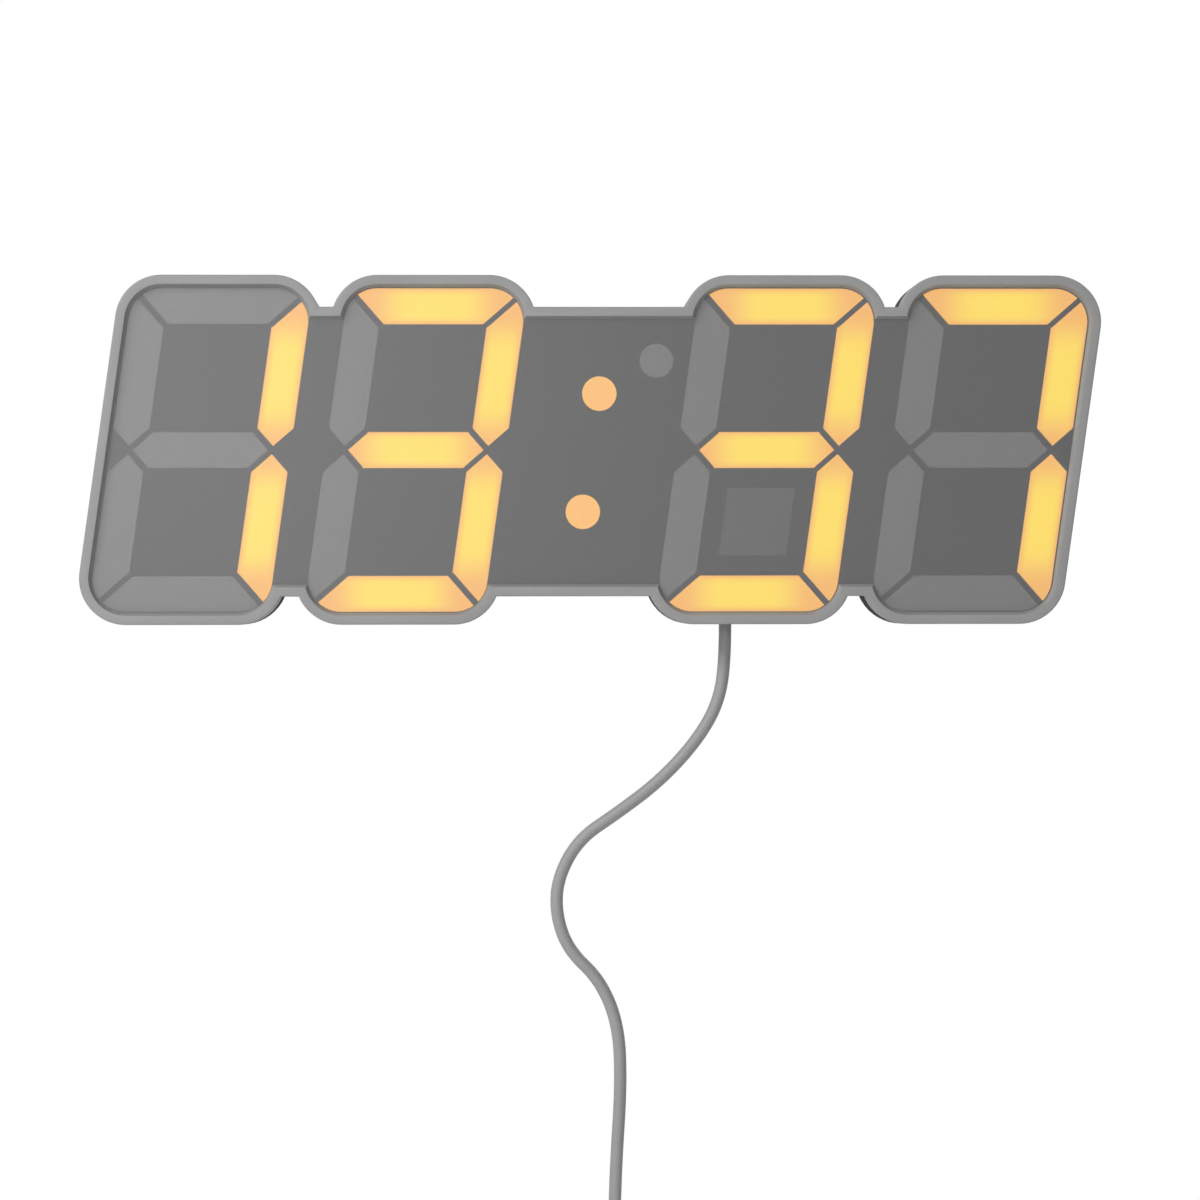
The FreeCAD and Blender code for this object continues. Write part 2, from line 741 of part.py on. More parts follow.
def add_posts(body):
    """Posts under the screws, with a sunk seat for each head, and gaps in the tongue for the webs."""
    places = boss_places()
    circles_step(body, "Pad", "Posts", "shell_floor", "parts_gap", places, "post_radius")
    circles_step(body, "Pocket", "HeadSinks", "0", "screw_sink", places, "screw_head_radius + screw_play")
    circles_step(body, "Pocket", "ScrewHoles", "screw_sink", "%s - screw_sink" % BOARD_BACK, places,
                 "screw_radius + screw_play")
    gaps = boss_strips("boss_web / 2 + tongue_play", "-band_below", "band_above")
    polygon_step(body, "Pocket", "WebGaps", FRAME_BACK, "tongue_high", gaps)


def add_keyhole_cups(body):
    """A closed pocket in front of each keyhole for the wall screw's head."""
    middle = "keyhole_above + keyhole_run / 2"
    wide = "2 * (keyhole_entry + keyhole_margin)"
    tall = "2 * (keyhole_entry + keyhole_margin) + keyhole_run"
    around = " + 2 * keyhole_wall"
    outside = [(x, middle, wide + around, tall + around) for x in keyhole_sides()]
    inside = [(x, middle, wide, tall) for x in keyhole_sides()]
    rounded_step(body, "Pad", "KeyholeCups", "shell_floor", "keyhole_room + keyhole_wall", outside,
                 "keyhole_margin + keyhole_wall")
    rounded_step(body, "Pocket", "KeyholeRooms", "shell_floor", "keyhole_room", inside, "keyhole_margin")


def add_button_recess(body):
    """A shallow recess that keeps the buttons behind the wall plane."""
    wide = "3 * button_pitch + 2 * button_flange + 2 * button_margin"
    tall = "2 * button_flange + 2 * button_margin"
    middle = ("-button_across", "-button_below")
    bed = [middle + (wide + " + button_margin", tall + " + button_margin")]
    rounded_step(body, "Pad", "ButtonBed", "shell_floor", "button_sink", bed, "1.5 * button_margin")
    recess = middle + (wide, tall)
    rounded_step(body, "Pocket", "ButtonRecess", "0", "button_sink", [recess], "button_margin")
    circles_step(body, "Pocket", "ButtonHoles", "button_sink", "shell_floor", button_places(),
                 "button_radius + button_play")


def add_floor_openings(body):
    """Everything that goes straight through the floor: cell opening, vents, sound holes, keyholes."""
    sketch = new_sketch(body, "OpeningSketch", "0")
    draw_circle(sketch, CELL_PLACE[0], CELL_PLACE[1], "cap_radius + cap_play")
    for side in ("-", "+"):
        for number in range(VENT_SLOTS):
            x = "%svent_across %+.1f * vent_pitch" % (side, number - (VENT_SLOTS - 1) / 2)
            slot = upright_box(x, "vent_above", "vent_wide", "vent_tall")
            draw_rounded(sketch, slot, SLOT_END % "vent_wide")
    draw_circle(sketch, "buzzer_across", "-buzzer_below", "sound_hole")
    for number in range(SOUND_HOLES):
        direction = "(%d * 360deg / %d)" % (number, SOUND_HOLES)
        draw_circle(sketch, "buzzer_across + sound_ring * cos" + direction,
                    "-buzzer_below + sound_ring * sin" + direction, "sound_hole")
    for x in keyhole_sides():
        draw_circle(sketch, x, "keyhole_above", "keyhole_entry")
    grow(body, "Pocket", "Openings", sketch, "shell_floor")

    slots = new_sketch(body, "SlotSketch", "0")
    for x in keyhole_sides():
        draw_rounded(slots, upright_box(x, "keyhole_above + keyhole_run / 2", "keyhole_slot",
                                        "keyhole_run + keyhole_slot"), SLOT_END % "keyhole_slot")
    for turn in ("-cap_turn", "180 - cap_turn"):
        draw_polygon(slots, lug_corners(CELL_PLACE, turn, "cap_hub_radius",
                                        "cap_radius + cap_lug_reach + cap_play", "cap_notch_angle"))
    grow(body, "Pocket", "Slots", slots, "shell_floor")


def make_rear_shell():
    """Black moulded tray: screw posts, keyhole pockets, vents, button recess and cell opening."""
    body = new_body("RearShell")
    tongue_front = "%s + tongue_high" % FRAME_BACK
    outline_steps(body, "Pad", "Edge", "shell_edge", "0", "shell_edge", BEVEL_ANGLE)
    outline_steps(body, "Pad", "Wall", "0", "shell_edge", FRAME_BACK)
    outline_steps(body, "Pad", "Tongue", "tongue_inset", FRAME_BACK, tongue_front)
    outline_steps(body, "Pocket", "Inside", "shell_wall", "shell_floor", tongue_front)
    add_posts(body)
    add_keyhole_cups(body)
    add_button_recess(body)
    add_floor_openings(body)
    exit_hole = new_sketch(body, "ExitSketch", BOTTOM, role="XY_Plane")
    draw_circle(exit_hole, "cord_exit_across", "-cord_exit_height", "relief_neck / 2")
    grow(body, "Pocket", "CordExit", exit_hole, "shell_wall")
    finish_node(body, "rear_shell")


def make_screws():
    """Eight self-tapping screws from behind, through the board into the frame's bosses."""
    body = new_body("CaseScrews")
    circles_step(body, "Pad", "Heads", "screw_sink - screw_head_high", "screw_head_high", boss_places(),
                 "screw_head_radius")
    circles_step(body, "Pad", "Shanks", "screw_sink", "screw_reach", boss_places(), "screw_radius")
    finish_node(body, "case_screws")


def make_buttons():
    """Four caps with their plungers, and the four switch cases on the board."""
    flange_front = "(%s + button_flange_high)" % FLANGE_BACK
    for name, place in zip(("down_button", "up_button", "mode_button", "set_button"), button_places()):
        body = new_body(name.title().replace("_", ""))
        cap_long = "%s - button_inside_wall" % FLANGE_BACK
        circles_step(body, "Pad", "Cap", "button_inside_wall", cap_long, [place], "button_radius")
        circles_step(body, "Pad", "Flange", FLANGE_BACK, "button_flange_high", [place], "button_flange")
        circles_step(body, "Pad", "Plunger", flange_front, "plunger_reach", [place], "plunger_radius")
        finish_node(body, name)
    switches = new_body("ButtonSwitches")
    low = "%s - switch_high" % BOARD_BACK
    cases = [(x, z, "switch_side", "switch_side") for x, z in button_places()]
    rounded_step(switches, "Pad", "Cases", low, "switch_high", cases, "chip_round")
    circles_step(switches, "Pocket", "Bores", low, "switch_high - switch_floor", button_places(),
                 "switch_bore")
    finish_node(switches, "button_switches")


def make_cell():
    """Coin cell in its holder, and the quarter-turn cap that closes the opening."""
    rim = "%s + cell_lid" % CELL_BACK
    holder = new_body("CoinCellHolder")
    circles_step(holder, "Pad", "Cup", rim, "%s - (%s)" % (BOARD_BACK, rim), [CELL_PLACE],
                 "cell_radius + holder_play + holder_wall")
    circles_step(holder, "Pocket", "Seat", rim, "cell_thick - cell_lid", [CELL_PLACE],
                 "cell_radius + holder_play")
    finish_node(holder, "coin_cell_holder")
    cell = new_body("CoinCell")
    circles_step(cell, "Pad", "Can", rim, "cell_thick - cell_lid", [CELL_PLACE], "cell_radius")
    circles_step(cell, "Pad", "Lid", CELL_BACK, "cell_lid", [CELL_PLACE], "cell_radius - cell_lid_step")
    finish_node(cell, "coin_cell")
    cap = new_body("BatteryCap")
    circles_step(cap, "Pad", "Disc", "cap_behind_wall", "cap_thick", [CELL_PLACE], "cap_radius")
    circles_step(cap, "Pad", "Hub", CAP_LUG_BACK, "cap_lug_high", [CELL_PLACE], "cap_hub_radius")
    lugs = [lug_corners(CELL_PLACE, turn, "cap_hub_radius - cap_lug_root", "cap_radius + cap_lug_reach",
                        "cap_lug_angle") for turn in ("0", "180")]
    polygon_step(cap, "Pad", "Lugs", CAP_LUG_BACK, "cap_lug_high", lugs)
    slot = upright_box(CELL_PLACE[0], CELL_PLACE[1], "2 * cap_slot_half", "cap_slot_wide")
    polygon_step(cap, "Pocket", "CoinSlot", "cap_behind_wall", "cap_slot_deep", [slot])
    finish_node(cap, "battery_cap")


def make_chip(label, x, z, wide, tall, high, legs):
    """A chip on the board's rear: a block with legs along its two sides."""
    body = new_body(label.title().replace("_", ""))
    case_back = "%s - %s" % (BOARD_BACK, high)
    rounded_step(body, "Pad", "Case", case_back, high, [(x, z, wide, tall)], "chip_round")
    rows = []
    for number in range(legs):
        middle = "%s %+.1f * (%s) / %d" % (z, number - (legs - 1) / 2, tall, legs)
        rows.append(upright_box(x, middle, "(%s) + 2 * chip_leg_reach" % wide, "chip_leg_wide"))
    polygon_step(body, "Pad", "Legs", "%s - chip_leg_high" % BOARD_BACK, "chip_leg_high", rows)
    finish_node(body, label)


def make_round_part(label, places, radius, high):
    """Upright cans on the board's rear."""
    body = new_body(label.title().replace("_", ""))
    circles_step(body, "Pad", "Can", "%s - %s" % (BOARD_BACK, high), high, places, radius)
    finish_node(body, label)


def make_board_parts():
    """What the board's rear carries beside the switches and the cell."""
    make_chip("controller_chip", "0", "controller_above", "controller_side", "controller_side",
              "controller_high", 8)
    make_chip("clock_chip", "-clock_chip_across", "clock_chip_above", "clock_chip_wide", "clock_chip_tall",
              "controller_high", 4)
    make_chip("left_driver_chip", "-driver_across", "driver_above", "driver_wide", "driver_tall",
              "driver_high", 8)
    make_chip("right_driver_chip", "driver_across", "driver_above", "driver_wide", "driver_tall",
              "driver_high", 8)
    make_round_part("buzzer", [("buzzer_across", "-buzzer_below")], "buzzer_radius", "buzzer_high")
    make_round_part("temperature_sensor", [("vent_across", "vent_above")], "probe_radius", "probe_high")
    capacitors = [("capacitor_across %s capacitor_pitch / 2" % side, "-supply_below")
                  for side in ("-", "+")]
    make_round_part("filter_capacitors", capacitors, "capacitor_radius", "capacitor_high")

    crystal = new_body("ClockCrystal")
    can = new_sketch(crystal, "CanSketch", "-clock_chip_across - crystal_long / 2", role="YZ_Plane")
    draw_circle(can, "-(%s - crystal_radius)" % BOARD_BACK, "crystal_above", "crystal_radius")
    grow(crystal, "Pad", "Can", can, "crystal_long")
    lead_middle = "-clock_chip_across + crystal_long / 2"
    leads = [upright_box(lead_middle, "crystal_above %s crystal_radius / 2" % side, "2 * crystal_lead",
                         "chip_leg_wide") for side in ("-", "+")]
    polygon_step(crystal, "Pad", "Leads", "%s - crystal_radius" % BOARD_BACK, "crystal_radius", leads)
    finish_node(crystal, "clock_crystal")

    regulator = new_body("VoltageRegulator")
    middle = ("regulator_across", "-supply_below")
    rounded_step(regulator, "Pad", "Case", "%s - regulator_high" % BOARD_BACK, "regulator_high",
                 [middle + ("regulator_wide", "regulator_tall")], "chip_round")
    tab = upright_box("regulator_across", "-supply_below + (regulator_tall + regulator_tab) / 2",
                      "regulator_wide - 2 * chip_round", "regulator_tab")
    legs = [upright_box("regulator_across %+d * regulator_wide / 3" % side,
                        "-supply_below - (regulator_tall + regulator_tab) / 2",
                        "2 * chip_leg_wide", "regulator_tab") for side in (-1, 1)]
    polygon_step(regulator, "Pad", "Tabs", "%s - regulator_tab_high" % BOARD_BACK, "regulator_tab_high",
                 [tab] + legs)
    finish_node(regulator, "voltage_regulator")


def make_sensors():
    """Infrared receiver and light sensor behind the square window."""
    x, z = lean(LOBE_CENTRES[2], "-" + SENSOR_MIDDLE)
    receiver_x = "%s - sensor_pitch / 2" % x
    block = make_box("ReceiverBlock", receiver_x, z, BOARD_FRONT, "receiver_side", "receiver_side",
                     "receiver_high")
    dome = doc.addObject("Part::Sphere", "ReceiverDome")
    dome.setExpression("Radius", expand("receiver_dome"))
    dome.setExpression("Placement.Base.x", expand(receiver_x))
    dome.setExpression("Placement.Base.y", expand("-%s - receiver_high" % BOARD_FRONT))
    dome.setExpression("Placement.Base.z", expand(z))
    receiver = doc.addObject("Part::Fuse", "InfraredReceiver")
    receiver.Base = block
    receiver.Tool = dome
    finish_node(receiver, "infrared_receiver")
    sensor = new_body("LightSensor")
    place = ("%s + sensor_pitch / 2" % x, z)
    circles_step(sensor, "Pad", "Base", BOARD_FRONT, "light_sensor_high / 2", [place],
                 "light_sensor_radius")
    circles_step(sensor, "Pad", "Window", BOARD_FRONT, "light_sensor_high", [place],
                 "light_sensor_radius - chip_round")
    finish_node(sensor, "light_sensor")


def make_supply():
    """Relief moulded on the cord's end, and the two leads from it to the board's socket."""
    relief = new_body("StrainRelief")
    neck = new_sketch(relief, "NeckSketch", BOTTOM, role="XY_Plane")
    draw_circle(neck, "cord_exit_across", "-cord_exit_height", "relief_neck / 2")
    grow(relief, "Pad", "Neck", neck, "shell_wall")
    flange = new_sketch(relief, "FlangeSketch", "%s + shell_wall" % BOTTOM, role="XY_Plane")
    plate = upright_box("cord_exit_across", "-cord_exit_height", "relief_flange", "relief_neck")
    draw_rounded(flange, plate, "relief_flange_thick")
    grow(relief, "Pad", "Flange", flange, "relief_flange_thick")
    finish_node(relief, "strain_relief")

    socket_low = "(%s + socket_above_exit)" % BOTTOM
    socket = make_box("LeadSocket", "cord_exit_across", "%s + socket_tall / 2" % socket_low,
                      "%s - socket_high" % BOARD_BACK, "socket_wide", "socket_tall", "socket_high")
    finish_node(socket, "lead_socket")

    leads = []
    for name, side in (("LeftLead", "-"), ("RightLead", "+")):
        lead = doc.addObject("Part::Cylinder", name)
        start = "(%s + shell_wall + relief_flange_thick)" % BOTTOM
        lead.setExpression("Radius", expand("lead_radius"))
        lead.setExpression("Height", expand("%s - %s" % (socket_low, start)))
        lead.setExpression("Placement.Base.x", expand("cord_exit_across %s lead_pitch / 2" % side))
        lead.setExpression("Placement.Base.y", expand("-cord_exit_height"))
        lead.setExpression("Placement.Base.z", expand(start))
        leads.append(lead)
    group("supply_leads", leads)


def sweep_node(label, edges):
    """A round tube of the cord's diameter along edges that follow each other."""
    path = Part.Wire(edges)
    start = edges[0].Vertexes[0].Point
    heading = edges[0].tangentAt(edges[0].FirstParameter)
    section = Part.Wire([Part.makeCircle(value("cord_diameter / 2"), start, heading)])
    tube = doc.addObject("Part::Feature", label.title().replace("_", ""))
    tube.Shape = path.makePipeShell([section], True, False)
    expected = math.pi * value("cord_diameter / 2") ** 2 * path.Length
    print("%s: length %.1f mm, volume %.1f of %.1f" % (label, path.Length, tube.Shape.Volume, expected))
    finish_node(tube, label)
    return path.Length


def make_cord():
    """The free stretch: straight runs joined by tangent arcs, as large as the runs allow."""
    exit_point = FreeCAD.Vector(value("cord_exit_across"), -value("cord_exit_height"), value(BOTTOM))
    points = [exit_point + FreeCAD.Vector(across, -off, up) for across, up, off in CORD_ROUTE]
    edges = []
    here = points[0]
    radii = []
    for before, corner, after in zip(points, points[1:], points[2:]):
        back = before - corner
        ahead = after - corner
        turn = math.pi - back.getAngle(ahead)
        cut = CORD_CUT * min(back.Length, ahead.Length)
        radii.append(cut / math.tan(turn / 2))
        start = corner + back.normalize() * cut
        finish = corner + ahead.normalize() * cut
        bisector = (back + ahead).normalize()
        middle = corner + bisector * (radii[-1] / math.cos(turn / 2) - radii[-1])
        edges.append(Part.makeLine(here, start))
        edges.append(Part.Arc(start, middle, finish).toShape())
        here = finish
    edges.append(Part.makeLine(here, points[-1]))
    print("cord: least radii", [round(radius, 1) for radius in sorted(radii)[:4]])
    return sweep_node("cord", edges), points[-1]


def make_coil(start):
    """The put-away length: two flat spirals, in and out, with one climb between them."""
    outer = value("coil_outer_radius")
    step = value("coil_step")
    count = round(value("coil_half_turns"))
    up = FreeCAD.Vector(0, 0, 1)
    right = FreeCAD.Vector(1, 0, 0)
    here = start - up * value("coil_lead")
    edges = [Part.makeLine(start, here)]

    def bend(ahead, rise, angle):
        """One arc from here: it starts along rise and bends towards ahead, by up to half a turn."""
        half = angle / 2
        middle = here + ahead * (1 - math.cos(half)) + rise * math.sin(half)
        finish = here + ahead * (1 - math.cos(angle)) + rise * math.sin(angle)
        edges.append(Part.Arc(here, middle, finish).toShape())
        return finish

    side = -1
    for turn in range(count):
        radius = outer - turn * step / 2
        here = bend(right * side * radius, up * side * radius, math.pi)
        side = -side
    radius = outer - count * step / 2
    towards = FreeCAD.Vector(side * radius, -step / 2, 0)
    rise = up * side * towards.Length
    here = bend(towards, rise, math.pi / 2)
    here = bend(-rise, towards, math.pi / 2)
    for turn in range(count - 1, 0, -1):
        side = -side
        radius = outer - turn * step / 2
        here = bend(right * side * radius, up * side * radius, math.pi)
    side = -side
    here = bend(right * side * outer, up * side * outer, math.pi / 2)
    edges.append(Part.makeLine(here, here + right * side * value("coil_tail")))
    print_self_gap(edges)
    return sweep_node("cord_coil", edges)


def print_self_gap(edges):
    """Least gap between parts of the coil that lie more than a third of a turn apart."""
    spacing = 1.5
    spots = []
    for edge in edges:
        spots += edge.discretize(max(2, round(edge.Length / spacing)))[:-1]
    apart = round(value("coil_outer_radius") / spacing)
    least = min((a - b).Length for index, a in enumerate(spots) for b in spots[index + apart:])
    print("coil: least gap to itself %.2f mm" % (least - value("cord_diameter")))


def make_tie():
    """A strap round the coil's section at its top."""
    inner_turn = "(coil_outer_radius - coil_half_turns * coil_step / 2)"
    sag = "(tie_wide * tie_wide / 8 / %s)" % inner_turn
    inner_edge = "(%s - cord_diameter / 2 - tie_play - %s)" % (inner_turn, sag)
    outer_edge = "(coil_outer_radius - coil_step / 2 + cord_diameter / 2 + tie_play)"
    back = "(%s - cord_diameter / 2 - tie_play)" % COIL_HEIGHT
    deep = "(coil_step + cord_diameter + 2 * tie_play)"
    tall = "(%s - %s)" % (outer_edge, inner_edge)
    middle = "(%s + (%s + %s) / 2)" % (COIL_ABOVE, outer_edge, inner_edge)
    across = "(%s - coil_step / 2)" % COIL_ACROSS
    outside = make_box("TieOutside", across, middle, "%s - tie_thick" % back, "tie_wide",
                       "%s + 2 * tie_thick" % tall, "%s + 2 * tie_thick" % deep)
    inside = make_box("TieInside", across, middle, back, "2 * tie_wide", tall, deep)
    cut_node("cord_tie", outside, inside)


def make_plug():
    """Moulded grip, metal shell and the tongue inside it, in line at the end of the coil's tail."""
    grip = new_body("PlugGrip")
    grip_end = "(%s - plug_neck_long - plug_grip_long)" % PLUG_ACROSS
    block = new_sketch(grip, "BlockSketch", grip_end, role="YZ_Plane")
    draw_rounded(block, upright_box("-%s" % PLUG_HEIGHT, PLUG_ABOVE, "plug_grip_high", "plug_grip_wide"),
                 "plug_grip_round")
    grow(grip, "Pad", "Block", block, "plug_grip_long")
    neck = new_sketch(grip, "NeckSketch", "%s + plug_grip_long" % grip_end, role="YZ_Plane")
    draw_circle(neck, "-%s" % PLUG_HEIGHT, PLUG_ABOVE, "plug_neck_radius")
    grow(grip, "Pad", "Neck", neck, "plug_neck_long")
    finish_node(grip, "plug_grip")

    shell = new_body("PlugShell")
    shell_end = "(%s - plug_shell_long)" % grip_end
    outside = new_sketch(shell, "OutsideSketch", shell_end, role="YZ_Plane")
    sleeve = upright_box("-%s" % PLUG_HEIGHT, PLUG_ABOVE, "plug_shell_high", "plug_shell_wide")
    draw_rounded(outside, sleeve, "plug_shell_round")
    grow(shell, "Pad", "Outside", outside, "plug_shell_long")
    inside = new_sketch(shell, "InsideSketch", shell_end, role="YZ_Plane")
    inner_high = "(plug_shell_high - 2 * plug_shell_wall)"
    inner_wide = "(plug_shell_wide - 2 * plug_shell_wall)"
    draw_polygon(inside, upright_box("-%s" % PLUG_HEIGHT, PLUG_ABOVE, inner_high, inner_wide))
    grow(shell, "Pocket", "Inside", inside, "plug_shell_long")
    finish_node(shell, "plug_shell")

    tongue = make_box("PlugTongue", "%s - plug_tongue_long / 2" % grip_end, PLUG_ABOVE,
                      "%s - %s / 2" % (PLUG_HEIGHT, inner_high), "plug_tongue_long", inner_wide,
                      "plug_tongue_thick")
    finish_node(tongue, "plug_tongue")


make_front_frame()
make_front_lens()
make_segment_mask()
make_diffusers()
make_reflectors()
make_board()
make_leds()
make_rear_shell()
make_screws()
make_buttons()
make_cell()
make_board_parts()
make_sensors()
make_supply()
free_length, coil_start = make_cord()
coil_length = make_coil(coil_start)
make_tie()
make_plug()
print("cord: whole length %.0f mm" % (free_length + coil_length))

doc.recompute()
for item in doc.Objects:
    if "Invalid" in item.State or "Error" in item.State:
        raise RuntimeError("%s can't be made: %s" % (item.Label, item.State))
for node in NODES:
    if node.Shape.isNull() or not node.Shape.isValid():
        raise RuntimeError("%s has no valid shape" % node.Label)

os.makedirs("parts", exist_ok=True)
for node in NODES:
    print("%-20s %2d solids, volume %.0f" % (node.Label, len(node.Shape.Solids), node.Shape.Volume))
    node.Shape.exportStep("parts/%s.step" % node.Label)
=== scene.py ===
import math

import bmesh
import bpy
from mathutils import Matrix, Vector


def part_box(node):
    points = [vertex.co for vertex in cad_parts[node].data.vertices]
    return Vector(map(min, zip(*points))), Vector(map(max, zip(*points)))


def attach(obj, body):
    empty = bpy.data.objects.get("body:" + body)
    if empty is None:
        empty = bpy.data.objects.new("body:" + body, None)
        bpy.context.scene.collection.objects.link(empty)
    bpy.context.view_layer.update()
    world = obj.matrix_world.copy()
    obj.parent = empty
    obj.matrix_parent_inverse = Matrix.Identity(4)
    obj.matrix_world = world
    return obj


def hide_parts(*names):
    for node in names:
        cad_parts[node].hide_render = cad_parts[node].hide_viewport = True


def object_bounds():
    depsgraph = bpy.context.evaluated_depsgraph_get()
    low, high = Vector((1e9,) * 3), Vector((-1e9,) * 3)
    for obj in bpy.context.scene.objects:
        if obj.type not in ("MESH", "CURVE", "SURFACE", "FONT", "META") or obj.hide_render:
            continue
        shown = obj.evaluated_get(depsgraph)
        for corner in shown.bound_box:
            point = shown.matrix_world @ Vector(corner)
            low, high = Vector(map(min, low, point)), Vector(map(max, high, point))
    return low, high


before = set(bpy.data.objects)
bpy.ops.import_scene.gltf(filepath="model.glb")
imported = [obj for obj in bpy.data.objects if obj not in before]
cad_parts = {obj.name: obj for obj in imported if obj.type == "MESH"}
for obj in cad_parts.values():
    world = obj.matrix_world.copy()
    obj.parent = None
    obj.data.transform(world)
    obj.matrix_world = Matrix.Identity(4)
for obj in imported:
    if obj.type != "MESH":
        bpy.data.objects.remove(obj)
cad_low, cad_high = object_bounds()

# The clock hangs on a wall, the plane y = 0, and faces -Y. Places and sizes below are in
# millimetres, as the pieces' drawings have them, and MM turns them into metres.
MM = 0.001


# The photograph's view: nearly straight on, from about 1.4 m away, a little to the left of the
# middle and a little below it.
IMAGE_SIDE = 1200
VIEW_POINT = Vector((-32.0, -1428.0, -51.4))
VIEW_YAW = math.radians(1.427)
VIEW_PITCH = math.radians(-0.061)
VIEW_ROLL = math.radians(-0.066)
VIEW_FOCUS_PIXELS = 3979.8

camera_data = bpy.data.cameras.new("camera")
camera_data.sensor_width = 36
camera_data.lens = camera_data.sensor_width * VIEW_FOCUS_PIXELS / IMAGE_SIDE
camera_data.clip_start = 0.01
camera_data.clip_end = 50
camera = bpy.data.objects.new("camera", camera_data)
place = Matrix.Translation(VIEW_POINT * MM)
heading = Matrix.Rotation(-VIEW_YAW, 4, "Z") @ Matrix.Rotation(math.pi / 2 + VIEW_PITCH, 4, "X")
camera.matrix_world = place @ heading @ Matrix.Rotation(VIEW_ROLL, 4, "Z")
bpy.context.scene.collection.objects.link(camera)
bpy.context.scene.camera = camera
bpy.context.scene.view_settings.view_transform = "Standard"


# Studio: a white background and floor, and soft lamps. The key lamp stands at the upper left, so
# the right and lower walls inside the rim are the bright ones. A small lamp beside the view
# gives the window its sheen, and one behind lights the rear.
def linear_colour(code):
    """An sRGB hex colour as the linear red, green, blue and alpha that shaders take."""
    parts = [int(code[start:start + 2], 16) / 255 for start in (1, 3, 5)]
    linear = [part / 12.92 if part <= 0.04045 else ((part + 0.055) / 1.055) ** 2.4 for part in parts]
    return (*linear, 1)


def fill_inputs(tree, node, inputs):
    """Set inputs of a node, each to a value or to an output of another node."""
    for name, given in inputs.items():
        if isinstance(given, bpy.types.NodeSocket):
            tree.links.new(given, node.inputs[name])
        else:
            node.inputs[name].default_value = given


def add_node(tree, kind, inputs=None, **settings):
    """A node with its settings and its inputs."""
    node = tree.nodes.new(kind)
    for name, setting in settings.items():
        setattr(node, name, setting)
    fill_inputs(tree, node, inputs or {})
    return node


def lit_or_white(tree, lit, white):
    """What lights the object, or plain white where the camera, gloss or glass looks at it."""
    path = add_node(tree, "ShaderNodeLightPath").outputs
    seen = add_node(tree, "ShaderNodeMath", {0: path["Is Camera Ray"], 1: path["Is Glossy Ray"]},
                    operation="MAXIMUM").outputs[0]
    seen = add_node(tree, "ShaderNodeMath", {0: seen, 1: path["Is Transmission Ray"]},
                    operation="MAXIMUM").outputs[0]
    return add_node(tree, "ShaderNodeMixShader", {0: seen, 1: lit, 2: white}).outputs[0]


WHITE = linear_colour("#FFFFFF")
WORLD_STRENGTH = 0.2
world = bpy.data.worlds.new("studio")
bpy.context.scene.world = world
world.use_nodes = True
studio = world.node_tree
studio.nodes.clear()
dim = add_node(studio, "ShaderNodeBackground", {"Color": WHITE, "Strength": WORLD_STRENGTH})
bright = add_node(studio, "ShaderNodeBackground", {"Color": WHITE, "Strength": 1})
sky = lit_or_white(studio, dim.outputs[0], bright.outputs[0])
add_node(studio, "ShaderNodeOutputWorld", {"Surface": sky})

# Each lamp's name, place, side in millimetres and power in watts
LAMPS = [
    ("key", (-1100, -1000, 850), 450, 20),
    ("sheen", (-290, -1400, 90), 300, 4),
    ("back", (500, 1100, 700), 700, 12),
]
for lamp_name, place, side, power in LAMPS:
    lamp_data = bpy.data.lights.new(lamp_name, "AREA")
    lamp_data.size = side * MM
    lamp_data.energy = power
    lamp = bpy.data.objects.new(lamp_name, lamp_data)
    lamp.location = Vector(place) * MM
    lamp.rotation_mode = "QUATERNION"
    lamp.rotation_quaternion = (-Vector(place)).to_track_quat("-Z", "Y")
    bpy.context.scene.collection.objects.link(lamp)

# The floor is a wide pale sheet just below the hanging coil
FLOOR_BELOW = 30
FLOOR_HALF = 6000
floor_mesh = bpy.data.meshes.new("floor")
floor_z = cad_low.z - FLOOR_BELOW * MM
reach = FLOOR_HALF * MM
floor_mesh.from_pydata([(x * reach, y * reach, floor_z) for x, y in ((-1, -1), (1, -1), (1, 1), (-1, 1))],
                       [], [(0, 1, 2, 3)])
floor = bpy.data.objects.new("floor", floor_mesh)
bpy.context.scene.collection.objects.link(floor)
floor_paint = bpy.data.materials.new("floor_paint")
floor_paint.use_nodes = True
floor_tree = floor_paint.node_tree
floor_tree.nodes.clear()
matt = add_node(floor_tree, "ShaderNodeBsdfDiffuse", {"Color": linear_colour("#F4F4F4")})
bright = add_node(floor_tree, "ShaderNodeEmission", {"Color": WHITE, "Strength": 1})
sheet = lit_or_white(floor_tree, matt.outputs[0], bright.outputs[0])
add_node(floor_tree, "ShaderNodeOutputMaterial", {"Surface": sheet})
floor_mesh.materials.append(floor_paint)


# Front frame: moulded in light grey ABS with a fine spark-eroded grain. Its rim is flat, 3.4 mm
# wide, rounded at its outer edge, and slopes down to the window, 1.5 mm lower. Behind the rim
# are the window's seat and eight screw bosses, each tied to the wall by a web.
SLANT = math.radians(8)
LOBE_WIDTH = 72.4
LOBE_TALL = 123
LOBE_CORNER = 16.35
PAIR_PITCH = 75.7
GROUP_PITCH = 199.5
BAND_ABOVE = 50.3
BAND_BELOW = 51.6
FRAME_FRONT = 28
FRAME_BACK = 20
RIM_WIDTH = 3.4
RIM_SLOPE = 0.8
RIM_OUTER_ROUND = 0.45
RIM_INNER_ROUND = 0.25
ROUND_STEPS = 5
WINDOW_FRONT = 26.5
SEAT_WALL = 1.5
BOSS_FROM_EDGE = 8
BOSS_INNER = 20
BOSS_RADIUS = 3
BOSS_BORE = 1.5
BOSS_FRONT = 24.5
BOSS_BACK = 10
